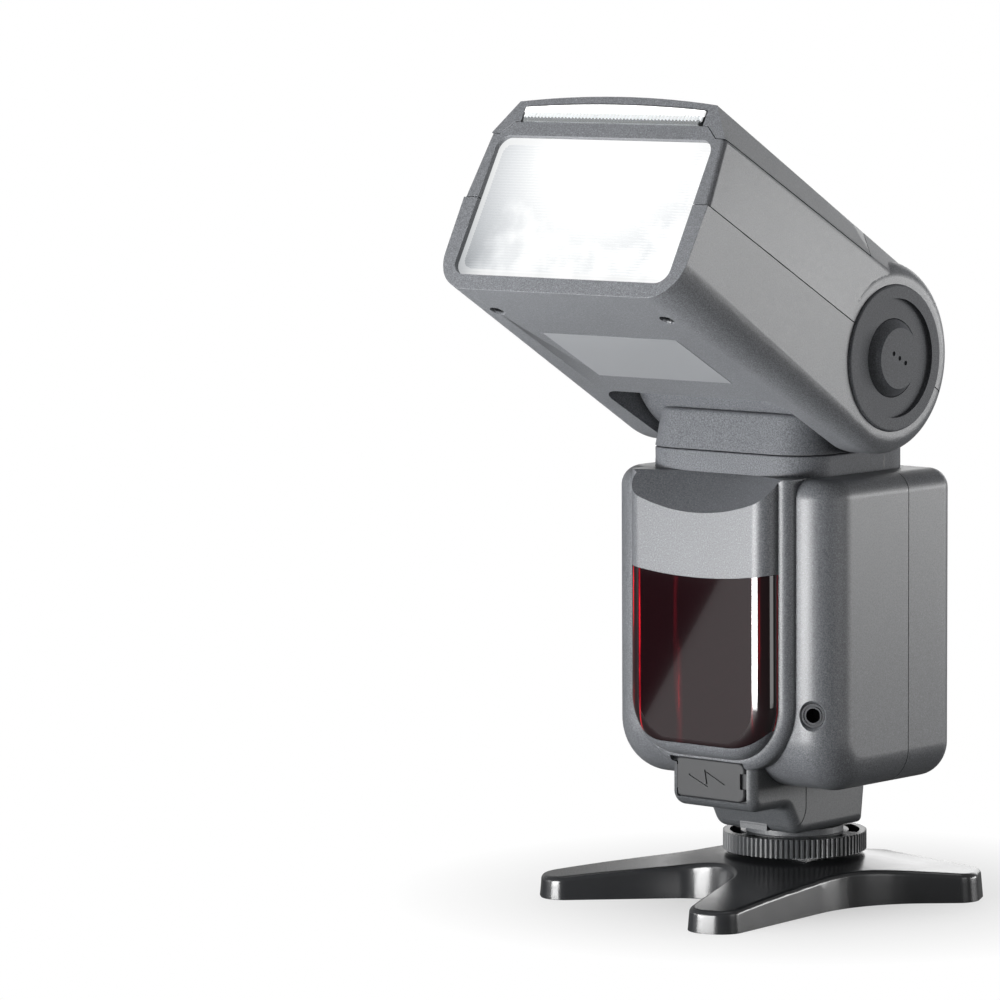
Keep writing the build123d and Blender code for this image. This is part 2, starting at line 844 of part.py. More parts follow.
def make_battery_springs():
    back = bay_end_x
    plates = []
    for y in (bay_center_y - cell_diameter / 2 - 0.4, bay_center_y + cell_diameter / 2 + 0.4):
        low = bay_bottom_z + 1.5
        plate = block(back - 0.5, back, y - 6, y + 6, low, bay_top_z - 1.5)
        for _, z in cell_places()[:2]:
            plate += crosswise(3.4, y, z, back - 1.3, back - 0.5)
        plates.append(plate)
    return Compound(children=plates)


def make_door_hinge():
    reach = 1.0
    length = door_y1 - door_y0 + 2 * reach
    return rod(hinge_rod_radius, (hinge_x, door_y0 - reach, hinge_z), (0, 1, 0), length)


def make_battery_door():
    inner = door_outer_x + door_thickness
    door = block(door_outer_x, inner, door_y0, door_y1, hinge_z, door_z1)
    door += rod(door_thickness / 2, (hinge_x, door_y0, hinge_z), (0, 1, 0), door_y1 - door_y0)
    door -= rod(hinge_rod_radius + bearing_gap, (hinge_x, door_y0 - 1, hinge_z), (0, 1, 0), 60)
    for rib in range(5):
        z = door_z1 - 12 + rib * 1.7
        door += rod(0.55, (door_outer_x + 0.1, door_y0 + 4, z), (0, 1, 0), 9)
    return door


def make_door_contacts():
    face = door_outer_x + door_thickness
    middle_z = bay_bottom_z + bay_depth / 2
    plates = []
    for z in (middle_z - cell_diameter / 2 - 0.4, middle_z + cell_diameter / 2 + 0.4):
        plate = block(face, face + 0.5, bay_y0 + 2, bay_y1 - 2, z - 4.4, z + 4.4)
        for y, _ in cell_places()[::2]:
            plate += crosswise(2.6, y, z, face + 0.5, face + 1.3)
        plates.append(plate)
    return Compound(children=plates)


# ---- boards ----------------------------------------------------------------------------
def make_main_board():
    low = main_board_z
    high = low + board_thickness
    board = block(-30, 30, bay_y0 - 5, key_board_y - 2, low, high)
    board += block(-29.5, -26.5, -21, -9, high, high + 6)
    for x, y in ((27, -18), (27, 4), (-26.5, 4)):
        board += upright(2.4, x, y, high, high + 9)
    board += block(-13, 13, key_board_y - 2, key_board_y, low, high)
    return board


def make_capacitor():
    half = capacitor_length / 2
    can = crosswise(capacitor_radius, neck_center_y - 4, capacitor_z, -half, half)
    can = fillet(can.edges().filter_by(GeomType.CIRCLE), 1.2)
    for y in (-2.5, 2.5):
        can += crosswise(0.5, neck_center_y - 4 + y, capacitor_z, half, half + 4)
    return can


def make_control_board():
    board = block(-29, 29, key_board_y, key_board_face, bay_bottom_z + 3, 101)
    board -= rod(3.4, (-case_screw_x, 0, body_top_z - wall - 5.5), (0, 1, 0), 30)
    board -= rod(3.4, (case_screw_x, 0, body_top_z - wall - 5.5), (0, 1, 0), 30)
    half = display_half_width
    board += block(-half - 1, half + 1, key_board_face, key_board_face + 1.3, 77, 99)
    return board


# ---- rear controls ---------------------------------------------------------------------
def key_places():
    return [((i - 1.5) * key_pitch, key_row_z) for i in range(4)]


def key_block(x, z, grow, y0, y1):
    half = key_width / 2 + grow
    tall = key_height / 2 + grow
    return along_y(rounded(x - half, x + half, z - tall, z + tall, 1.2), y0, y1)


def switch_slot(grow, y0, y1):
    half = switch_width / 2 + grow
    low = pad_z - 6.5 - grow
    high = pad_z - 6.5 + switch_length + switch_travel + grow
    return block(switch_x - half, switch_x + half, y0, y1, low, high)


def key_openings(grow):
    y0 = key_board_face
    y1 = body_rear_y + 2
    holes = Part()
    for x, z in key_places():
        holes += key_block(x, z, grow, y0, y1)
    holes += rod(pad_radius + grow, (0, y0, pad_z), (0, 1, 0), y1 - y0)
    holes += rod(pilot_radius + grow, (pilot_x, y0, pad_z), (0, 1, 0), y1 - y0)
    return holes + switch_slot(grow, y0, y1)


def display_opening():
    half = display_half_width - 1
    y0 = key_board_face
    return block(-half, half, y0, body_rear_y + 2, display_bottom_z + 1, display_top_z - 1)


def window_plate(grow):
    half = display_half_width + 1 + grow
    low = display_bottom_z - 1 - grow
    outline = rounded(-half, half, low, display_top_z + 1 + grow, 2.0)
    return along_y(outline, panel_back_y, panel_face_y + 0.3)


def panel_plate(grow):
    half = panel_half_width + grow
    outline = rounded(-half, half, panel_bottom_z - grow, panel_top_z + grow, 3.5)
    return along_y(outline, panel_back_y, panel_face_y + 1)


def make_control_panel():
    panel = panel_plate(0) & block(-reach, reach, 0, panel_face_y + 0.2, 0, reach)
    return panel - window_plate(seat_gap) - key_openings(0.2)


def make_display_window():
    return window_plate(0)


def key_at(x, z):
    cap = key_block(x, z, 0, key_flange_y, body_rear_y + key_stand_out)
    cap = fillet([e for e in edges_on(cap, 1, body_rear_y + key_stand_out)], 0.4)
    flange = key_block(x, z, key_flange, key_flange_y, body_rear_y - wall - seat_gap)
    return cap + flange


def round_key(radius, x, stand_out):
    face = body_rear_y + stand_out
    cap = rod(radius, (x, key_flange_y, pad_z), (0, 1, 0), face - key_flange_y)
    cap = fillet(edges_on(cap, 1, face), 0.5)
    flange = body_rear_y - wall - seat_gap - key_flange_y
    return cap + rod(radius + key_flange, (x, key_flange_y, pad_z), (0, 1, 0), flange)


def make_select_pad():
    pad = round_key(pad_radius, 0, key_stand_out)
    pad -= rod(set_radius + key_flange + 0.2, (0, key_flange_y - 1, pad_z), (0, 1, 0), 1 + wall)
    pad -= rod(set_radius + 0.2, (0, key_flange_y - 1, pad_z), (0, 1, 0), 10)
    for quarter in range(4):
        x, z = polar(7.3, quarter * 90)
        pad -= rod(0.8, (x, body_rear_y + key_stand_out - 0.25, z + pad_z), (0, 1, 0), 2)
    return pad


def make_set_button():
    return round_key(set_radius, 0, key_stand_out + 0.2)


def make_pilot_button():
    return round_key(pilot_radius, pilot_x, key_stand_out + 0.3)


def make_power_switch():
    half = switch_width / 2
    low = pad_z - 6.5
    high = low + switch_length
    knob = block(switch_x - half, switch_x + half, key_flange_y, body_rear_y + 1.4, low, high)
    for groove in range(3):
        z = (low + high) / 2 + (groove - 1) * 1.5
        knob -= block(switch_x - 5, switch_x + 5, body_rear_y + 1.0, body_rear_y + 2, z - 0.3, z + 0.3)
    skirt = body_rear_y - wall - seat_gap
    return knob + block(switch_x - half - 1, switch_x + half + 1, key_flange_y, skirt, low, high)


# ---- neck ------------------------------------------------------------------------------
def neck_outline(inset):
    half = neck_half_width - inset
    deep = neck_depth / 2 - inset
    return rounded(-half, half, -deep, deep, neck_corner_radius - inset)


def make_neck_ring():
    ring = along_z(neck_outline(0), body_top_z, neck_seam_z)
    ring = fillet(edges_on(ring, 2, neck_seam_z), 0.4)
    ring -= upright(spigot_radius + bearing_gap, 0, 0, body_top_z - 1, neck_seam_z + 1)
    return neck_place * (ring - turned_head_sweep())


def turned_head_sweep():
    near = opening_front_u - head_clearance
    low = -head_underside - head_clearance
    underside = block(-reach, reach, -near - reach, -near, low, 0)
    pivot = Pos(0, pivot_y - neck_center_y, pivot_z)
    return Rot(0, 0, -90) * pivot * Rot(-lowest_tilt, 0, 0) * underside


def yoke_block():
    low = yoke_base_z
    high = low + yoke_front_height
    foot = Plane.XY.offset(low) * make_face(neck_outline(0))
    top = Plane.XY.offset(high) * make_face(neck_outline(1.8))
    form = loft([foot, top], ruled=True)
    form = neck_place * fillet(edges_on(form, 2, high), 1.2)
    front = neck_center_y - neck_depth / 2
    rear = neck_center_y + neck_depth / 2
    fall = Polyline((front + 7, high), (rear, low + yoke_rear_height), (rear + 5, low + 1))
    lid = Polyline((rear + 5, low + 1), (rear + 5, high + 9), (front + 7, high + 9), (front + 7, high))
    return form - along_x(fall + lid, -reach, reach)


def make_swivel_yoke():
    yoke = yoke_block() + crosswise(drum_radius, pivot_y, pivot_z, -drum_half_width, drum_half_width)
    low = body_top_z - wall - run_gap - retainer_thickness - 0.5
    yoke += neck_place * upright(spigot_radius, 0, 0, low, yoke_base_z + 1)
    inside = drum_half_width - trunnion_length
    yoke -= crosswise(drum_radius - drum_wall, pivot_y, pivot_z, -inside, inside)
    yoke -= neck_place * upright(spigot_bore_radius, 0, 0, low - 1, pivot_z - drum_radius + 6)
    bore = trunnion_radius + bearing_gap + sleeve_wall
    return yoke - crosswise(bore, pivot_y, pivot_z, -drum_half_width - 1, drum_half_width + 1)


def make_tilt_sleeves():
    sleeves = []
    inner = trunnion_radius + bearing_gap
    for side in (-1, 1):
        x0 = min(side * drum_half_width, side * (drum_half_width - trunnion_length))
        ring = crosswise(inner + sleeve_wall, pivot_y, pivot_z, x0, x0 + trunnion_length)
        sleeves.append(ring - crosswise(inner, pivot_y, pivot_z, x0 - 1, x0 + trunnion_length + 1))
    return Compound(children=sleeves)


def make_swivel_retainer():
    high = body_top_z - wall - run_gap
    low = high - retainer_thickness
    ring = upright(spigot_radius + retainer_width, 0, 0, low, high)
    return neck_place * (ring - upright(spigot_radius + seat_gap / 2, 0, 0, low - 1, high + 1))


# ---- head, drawn level with its pivot at the origin: u runs along -Y and v along +Z ------
def head_section(u, inset):
    share = u / head_length

    def mix(rear, front):
        return rear + (front - rear) * share

    side = head_half_width - inset
    foot = mix(side, side - 0.5)
    low = inset - head_underside
    corner = mix(head_rear_edge, head_corner_radius) - inset
    shoulder = mix(head_half_width, head_front_shoulder) - inset
    crest = mix(head_rear_top_half, head_front_top_half) - 0.6 * inset
    top = mix(head_underside - head_rear_crown, head_front_top) - inset
    crown = top + mix(head_rear_crown, head_crown)
    right = [(foot, low), (side, head_seam_v), (shoulder, cover_seam_v), (crest, top)]
    left = [(-x, v) for x, v in reversed(right)]
    ease = max(shoulder_radius - inset, 0.5)
    rim = FilletPolyline(*left, *right, radius=[ease, 0, corner, corner, 0, ease])
    outline = rim + ThreePointArc((crest, top), (0, crown), (-crest, top))
    return Plane.XZ.offset(u) * make_face(outline)


def head_rear(inset):
    half = head_half_width - inset
    radius = head_underside - inset
    rim = [(-half, 0), (-half, radius), (half, radius), (half, 0)]
    edge = head_rear_edge - inset
    outline = FilletPolyline(*rim, radius=edge) + Line((half, 0), (-half, 0))
    return revolve(make_face(outline), Axis.X)


def head_form(inset):
    front = loft([head_section(0, inset), head_section(head_length, inset)], ruled=True)
    return front + head_rear(inset)


def behind(u):
    return block(-reach, reach, -u, reach, -reach, reach)


def cheek_walls():
    inner = opening_half_width
    walls = Part()
    for side in (-1, 1):
        x0 = min(side * inner, side * (inner + wall))
        walls += block(x0, x0 + wall, -opening_front_u - wall, reach, -reach, reach)
    return walls & head_form(wall / 2)


def drum_opening():
    rear = polar(45, opening_rear_angle)
    front = -opening_front_u
    rim = [(front, -reach), (front, -10), (0, 0), (-rear[0], rear[1]), (reach, rear[1]), (reach, -reach)]
    side = loop(*rim)
    half = opening_half_width
    plan = rounded(-half, half, front, 70, opening_corner_radius)
    return along_x(side, -half, half) & along_z(plan, -50, 50)


def window_hole(grow, u0, u1):
    half = window_half_width + grow
    low = window_low_v - grow
    outline = rounded(-half, half, low, window_high_v + grow, window_corner_radius + grow)
    return along_y(outline, -u1, -u0)


def head_casing():
    casing = head_form(0) - (head_form(wall) & behind(head_length - wall))
    casing += cheek_walls()
    casing = casing - drum_opening() - window_hole(0, head_length - 5, head_length + 5)
    for side in (-1, 1):
        x0 = min(side * disc_back_x - side * seat_gap, side * (head_half_width + 1))
        casing -= crosswise(disc_radius + seat_gap, 0, 0, x0, x0 + head_half_width + 1 - disc_back_x)
    return casing - crosswise(trunnion_radius + seat_gap, 0, 0, -disc_back_x, disc_back_x)


def tray_line(shift):
    foot = tray_half_width + tray_slope
    seam = cover_seam_v + shift
    tray = tray_v + shift
    return [(-45, seam), (-foot, seam), (-tray_half_width, tray), (tray_half_width, tray), (foot, seam), (45, seam)]


def cover_region(shift):
    outline = loop(*tray_line(shift), (45, 50), (-45, 50))
    return along_y(outline, -head_length - 2, -cover_start_u - shift)


def tray_floor():
    band = loop(*tray_line(0), *reversed(tray_line(-tray_deck)))
    floor = along_y(band, wall - head_length - 0.5, -cover_start_u - 1)
    return floor & head_form(wall / 2)


def guide_lugs():
    lugs = Part()
    outer = head_half_width
    for side in (-1, 1):
        x0 = min(side * (side_channel_x - 2.2), side * outer)
        x1 = x0 + outer - side_channel_x + 2.2
        top = rod_v + 2.6
        rear_u = opening_front_u + wall + 0.5
        lugs += block(x0, x1, -rear_u - 2.7, -rear_u, rod_v - 2.6, top)
        lugs += block(x0, x1, 5 - head_length, 7 - head_length, rod_v - 2.6, top)
        for u0 in (rear_u - 1, head_length - 7.5):
            lugs -= rod(guide_rod_radius + 0.05, (side * side_channel_x, -u0, rod_v), (0, -1, 0), 6)
    return lugs


def motor_rest():
    rear_u = opening_front_u + wall + 0.5
    top = screw_v - motor_radius - seat_gap
    x0 = side_channel_x - 2.2
    rest = block(x0, head_half_width, -rear_u - motor_length + 2, -rear_u, rod_v + 1.5, top)
    bore = rod(guide_rod_radius + 0.4, (side_channel_x, -rear_u + 1, rod_v), (0, -1, 0), 20)
    return rest - bore


def head_bosses(v0, v1):
    bosses = Part()
    for x in (-head_screw_x, head_screw_x):
        bosses += rod(2.5, (x, -head_screw_u, v0), (0, 0, 1), v1 - v0)
        bosses -= rod(head_screw_radius + 0.05, (x, -head_screw_u, v0 - 1), (0, 0, 1), v1 - v0 + 2)
    return bosses


def make_head_lower_shell():
    below = block(-reach, reach, -reach, reach, -reach, head_seam_v - seam_line / 2)
    inner = head_form(wall / 2)
    added = guide_lugs() + motor_rest() + head_bosses(-head_underside, head_seam_v - seam_line)
    shell = head_casing() + (added & inner)
    shell &= below
    for x in (-head_screw_x, head_screw_x):
        shell -= rod(head_screw_radius + 0.05, (x, -head_screw_u, -head_underside - 1), (0, 0, 1), 2 * head_underside)
        shell -= rod(1.9, (x, -head_screw_u, -head_underside - 1), (0, 0, 1), 2.8)
    depth = label_thickness - 0.05
    half = label_half_width + seat_gap
    pocket = block(-half, half, -label_u1 - seat_gap, seat_gap - label_u0, -reach, depth - head_underside)
    return head_place * largest(shell - pocket)


def make_head_upper_shell():
    above = block(-reach, reach, -reach, reach, head_seam_v + seam_line / 2, reach)
    shell = head_casing() - cover_region(0) + tray_floor()
    shell += head_bosses(head_seam_v, 9) & head_form(wall)
    for x in (-head_screw_x, head_screw_x):
        shell += block(x - 0.9, x + 0.9, -head_screw_u - 2.4, -head_screw_u + 2.4, 9, tray_v - tray_deck + 0.3)
    shell = shell - window_hole(window_flange + seat_gap, head_length - wall - 2, head_length - wall)
    return head_place * largest(shell & above)


def slot_opening():
    half = slot_half_width
    low = tray_v + seam_line
    walls = FilletPolyline((-half, slot_side_v), (-half, low - 2), (half, low - 2), (half, slot_side_v), radius=0.3)
    arch = ThreePointArc((half, slot_side_v), (0, slot_side_v + slot_rise), (-half, slot_side_v))
    return along_y(walls + arch, -head_length - 2, wall + 1 - head_length)


def make_head_top_cover():
    shell = head_form(0) - (head_form(wall) & behind(head_length - wall))
    ribs = Part()
    for side in (-1, 1):
        x0 = min(side * (slot_half_width + 0.3), side * (slot_half_width + 1.3))
        front = wall - head_length
        ribs += block(x0, x0 + 1.0, front, front + tray_length, tray_v + seam_line + 0.1, reach)
    shell += ribs & head_form(wall / 2)
    cover = (shell & cover_region(seam_line)) - slot_opening()
    return head_place * largest(cover)


def make_fresnel_window():
    front = head_length - window_recess
    plate = window_hole(-seat_gap, head_length - wall - 1.6, front)
    flange = window_hole(window_flange, head_length - wall - 1.6, head_length - wall - 0.05)
    return head_place * (plate + flange)


def make_wide_panel():
    half = slot_half_width - fit_gap
    low = tray_v + seat_gap
    front = head_length - 1.6
    panel = block(-half, half, -front, tray_length - front, low, low + panel_thickness)
    panel += block(1 - half, half - 1, -head_length - 0.5, -front, low, low + panel_thickness)
    return head_place * panel


def make_bounce_card():
    half = slot_half_width - 3
    low = tray_v + seat_gap + panel_thickness + seat_gap
    front = head_length - 2.0
    card = block(-half, half, -front, tray_length - 0.6 - front, low, low + card_thickness)
    card += block(1 - half, half - 1, -front, 1.6 - front, low, slot_side_v - 0.6)
    card += block(1 - half, half - 1, -head_length - 0.3, -front, low, slot_side_v - 0.6)
    return head_place * card


# ---- pivot discs and tilt release ------------------------------------------------------
def pivot_disc():
    disc = crosswise(disc_radius, 0, 0, disc_back_x, disc_face_x)
    disc = fillet(edges_on(disc, 0, disc_face_x), 0.5)
    disc -= crosswise(disc_recess_radius, 0, 0, boss_foot_x, disc_face_x + 1)
    return disc + crosswise(trunnion_radius, 0, 0, drum_half_width - trunnion_length, disc_back_x)


def boss_cone():
    frame = Plane(origin=(boss_foot_x, 0, 0), z_dir=(1, 0, 0))
    boss = frame * Pos(0, 0, boss_height / 2) * Cone(boss_base_radius, boss_top_radius, boss_height)
    for step in (-1, 0, 1):
        boss -= crosswise(0.55, step * 2.6, 0, boss_foot_x + boss_height - 0.5, disc_face_x + 5)
    return boss


def make_pivot_disc_left():
    disc = pivot_disc() + boss_cone()
    disc -= crosswise(spigot_bore_radius - 5, 0, 0, 0, disc_back_x - 2)
    return head_place * mirror(disc, Plane.YZ)


def make_pivot_disc_right():
    well = boss_foot_x - 4.2 - release_travel
    disc = pivot_disc() - crosswise(boss_base_radius + 0.2, 0, 0, well, disc_face_x + 1)
    return head_place * (disc - crosswise(release_pin_radius + 0.2, 0, 0, 0, disc_face_x))


def make_release_button():
    button = boss_cone() + crosswise(boss_base_radius, 0, 0, boss_foot_x - 4.0, boss_foot_x)
    pin_end = drum_half_width - trunnion_length + release_travel
    button += crosswise(release_pin_radius, 0, 0, pin_end, boss_foot_x)
    return head_place * button


# ---- flash optics ----------------------------------------------------------------------
def reflector_bowl(shrink, half):
    front = -zoom_front_u
    depth = reflector_depth - shrink
    tall = reflector_half_height - shrink
    middle = window_center_v
    arc = ThreePointArc((front, middle + tall), (front + depth, middle), (front, middle - tall))
    face = Line((front, middle - tall), (front, middle + tall))
    return along_x(arc + face, -half, half)


def tube_axis_y():
    return reflector_depth - 5.5 - zoom_front_u


def make_reflector():
    half = reflector_half_width
    bowl = reflector_bowl(0, half) - reflector_bowl(reflector_wall, half - reflector_wall)
    bowl -= crosswise(tube_radius + 0.2, tube_axis_y(), window_center_v, -half - 1, half + 1)
    return head_place * bowl


def make_flash_tube():
    half = reflector_half_width + 2.4
    tube = crosswise(tube_radius, tube_axis_y(), window_center_v, -half, half)
    return head_place * tube


def make_zoom_carriage():
    half = reflector_half_width
    back = reflector_depth - zoom_front_u
    low = window_center_v - 8
    high = window_center_v + 8
    frame = block(-half - 2.5, half + 2.5, back + 0.1, back + 2.6, low, high)
    for side in (-1, 1):
        x0 = min(side * (half + 0.1), side * (half + 2.5))
        frame += block(x0, x0 + 2.4, tube_axis_y() - 3, back + 1, low, high)
        x1 = min(side * (half + 2), side * (side_channel_x + 2.2))
        wide = side_channel_x + 2.2 - half - 2
        frame += block(x1, x1 + wide, back - 2, back + 2.6, rod_v - 2.2, rod_v + 2.2)
        frame -= rod(guide_rod_radius + bearing_gap, (side * side_channel_x, back - 5, rod_v), (0, 1, 0), 12)
        frame -= crosswise(tube_radius + 0.1, tube_axis_y(), window_center_v, -half - 3, half + 3)
    frame += block(half + 2, side_channel_x + 2.2, back - 2, back + 2.6, screw_v - 2.4, screw_v + 2.4)
    frame -= rod(lead_screw_radius + bearing_gap, (side_channel_x, back - 5, screw_v), (0, 1, 0), 12)
    return head_place * frame


def make_guide_rods():
    rear_u = opening_front_u + wall + 0.6
    length = head_length - 5.2 - rear_u
    rods = [rod(guide_rod_radius, (s * side_channel_x, -rear_u, rod_v), (0, -1, 0), length) for s in (-1, 1)]
    return head_place * Compound(children=rods)


def make_zoom_motor():
    rear_u = opening_front_u + wall + 0.6
    motor = rod(motor_radius, (side_channel_x, -rear_u, screw_v), (0, -1, 0), motor_length)
    socket = rod(lead_screw_radius + bearing_gap, (side_channel_x, -rear_u - motor_length + 2, screw_v), (0, -1, 0), 4)
    return head_place * (motor - socket)


def make_lead_screw():
    start = opening_front_u + wall + 0.6 + motor_length - 1.8
    screw = rod(lead_screw_radius, (side_channel_x, -start, screw_v), (0, -1, 0), head_length - 6 - start)
    return head_place * screw


def make_head_screws():
    screws = []
    for x in (-head_screw_x, head_screw_x):
        screw = rod(head_screw_radius, (x, -head_screw_u, 1.7 - head_underside), (0, 0, 1), 28)
        screw += rod(1.8, (x, -head_screw_u, 0.5 - head_underside), (0, 0, 1), 1.2)
        screws.append(screw - rod(0.8, (x, -head_screw_u, -head_underside), (0, 0, 1), 1.1))
    return head_place * Compound(children=screws)


def make_label_plate():
    high = label_thickness - 0.05 - head_underside
    low = high - label_thickness
    return head_place * block(-label_half_width, label_half_width, -label_u1, -label_u0, low, high)


# ---- files -----------------------------------------------------------------------------
pieces = {
    "stand_base": make_stand_base,
    "tripod_bush": make_tripod_bush,
    "stand_shoe": make_stand_shoe,
    "shoe_screws": make_shoe_screws,
    "mounting_foot": make_mounting_foot,
    "foot_screws": make_foot_screws,
    "contact_pins": make_contact_pins,
    "lock_pin": make_lock_pin,
    "lock_ring": make_lock_ring,
    "foot_housing_front": make_foot_housing_front,
    "foot_housing_rear": make_foot_housing_rear,
    "socket_cover": make_socket_cover,
    "power_socket": make_power_socket,
    "front_shell": make_front_shell,
    "rear_shell": make_rear_shell,
    "case_screws": make_case_screws,
    "red_lens": make_red_lens,
    "sync_socket": make_sync_socket,
    "sensor_board": make_sensor_board,
    "assist_lamps": make_assist_lamps,
    "battery_cradle": make_battery_cradle,
    "battery_springs": make_battery_springs,
    "door_hinge": make_door_hinge,
    "battery_door": make_battery_door,
    "door_contacts": make_door_contacts,
    "main_board": make_main_board,
    "capacitor": make_capacitor,
    "control_board": make_control_board,
    "control_panel": make_control_panel,
    "display_window": make_display_window,
    "select_pad": make_select_pad,
    "set_button": make_set_button,
    "pilot_button": make_pilot_button,
    "power_switch": make_power_switch,
    "neck_ring": make_neck_ring,
    "swivel_yoke": make_swivel_yoke,
    "tilt_sleeves": make_tilt_sleeves,
    "swivel_retainer": make_swivel_retainer,
    "head_lower_shell": make_head_lower_shell,
    "head_upper_shell": make_head_upper_shell,
    "head_top_cover": make_head_top_cover,
    "fresnel_window": make_fresnel_window,
    "wide_panel": make_wide_panel,
    "bounce_card": make_bounce_card,
    "pivot_disc_left": make_pivot_disc_left,
    "pivot_disc_right": make_pivot_disc_right,
    "release_button": make_release_button,
    "reflector": make_reflector,
    "flash_tube": make_flash_tube,
    "zoom_carriage": make_zoom_carriage,
    "guide_rods": make_guide_rods,
    "zoom_motor": make_zoom_motor,
    "lead_screw": make_lead_screw,
    "head_screws": make_head_screws,
    "label_plate": make_label_plate,
}

os.makedirs("parts", exist_ok=True)
for name, make in pieces.items():
    export_step(make(), f"parts/{name}.step")
for index, (x, z) in enumerate(key_places()):
    export_step(key_at(x, z), f"parts/key_{index + 1}.step")
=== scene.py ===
import bmesh
import bpy
import json
import math
from mathutils import Matrix, Vector

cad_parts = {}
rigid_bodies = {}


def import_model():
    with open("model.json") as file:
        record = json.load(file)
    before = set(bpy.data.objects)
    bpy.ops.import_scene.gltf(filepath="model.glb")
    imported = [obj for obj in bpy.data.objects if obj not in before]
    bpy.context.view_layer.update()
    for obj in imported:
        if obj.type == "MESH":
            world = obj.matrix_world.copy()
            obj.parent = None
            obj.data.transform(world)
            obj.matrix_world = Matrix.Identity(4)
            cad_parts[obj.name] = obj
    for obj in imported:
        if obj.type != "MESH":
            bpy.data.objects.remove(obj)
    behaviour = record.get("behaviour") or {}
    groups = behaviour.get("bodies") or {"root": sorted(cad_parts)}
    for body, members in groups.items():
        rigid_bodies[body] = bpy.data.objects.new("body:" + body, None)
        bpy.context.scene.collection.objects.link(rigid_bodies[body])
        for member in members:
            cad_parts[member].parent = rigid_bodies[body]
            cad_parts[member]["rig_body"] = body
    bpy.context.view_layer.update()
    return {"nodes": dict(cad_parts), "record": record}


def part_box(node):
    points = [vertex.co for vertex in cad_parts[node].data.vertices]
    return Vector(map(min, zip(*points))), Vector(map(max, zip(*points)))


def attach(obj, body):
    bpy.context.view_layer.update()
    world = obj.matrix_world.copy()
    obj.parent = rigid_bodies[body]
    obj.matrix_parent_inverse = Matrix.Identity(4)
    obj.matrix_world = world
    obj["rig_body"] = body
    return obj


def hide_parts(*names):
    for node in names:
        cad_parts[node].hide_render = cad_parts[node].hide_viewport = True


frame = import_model()
nodes = frame["nodes"]
mm = 0.001


# places read from the frame
def boxOf(name):
    low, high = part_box(name)
    return Vector(low), Vector(high)


discLow, discHigh = boxOf("pivot_disc_right")
pivot = Vector((0, (discLow.y + discHigh.y) / 2, (discLow.z + discHigh.z) / 2))
headTilt = math.radians(28.8)
# in head space x is sideways, -y runs along the head to its window, and z is the head's own up
headSpace = Matrix.Translation(pivot) @ Matrix.Rotation(-headTilt, 4, "X")
headInverse = headSpace.inverted()


def headBox(name):
    points = [headInverse @ v.co for v in nodes[name].data.vertices]
    return [Vector([pick(p[i] for p in points) for i in range(3)]) for pick in (min, max)]


print("frame loaded, pivot at", [round(v / mm, 2) for v in pivot])


# small helpers
def linear(hexColor):
    parts = [int(hexColor[i:i + 2], 16) / 255 for i in (0, 2, 4)]
    return tuple(c / 12.92 if c <= 0.04045 else ((c + 0.055) / 1.055) ** 2.4 for c in parts) + (1.0,)


def addNode(tree, kind, settings=None, inputs=None, links=None, stops=()):
    node = tree.nodes.new(kind)
    for key, value in (settings or {}).items():
        setattr(node, key, value)
    for spare in stops[2:]:
        node.color_ramp.elements.new(0.5)
    for place, (position, color) in enumerate(stops):
        node.color_ramp.elements[place].position = position
        node.color_ramp.elements[place].color = linear(color)
    for key, value in (inputs or {}).items():
        node.inputs[key].default_value = value
    for key, socket in (links or {}).items():
        tree.links.new(socket, node.inputs[key])
    return node


def newMaterial(name):
    material = bpy.data.materials.new(name)
    material.use_nodes = True
    tree = material.node_tree
    tree.nodes.clear()
    shader = addNode(tree, "ShaderNodeBsdfPrincipled")
    addNode(tree, "ShaderNodeOutputMaterial", links={"Surface": shader.outputs[0]})
    coords = addNode(tree, "ShaderNodeTexCoord").outputs["Object"]
    return material, tree, shader, coords


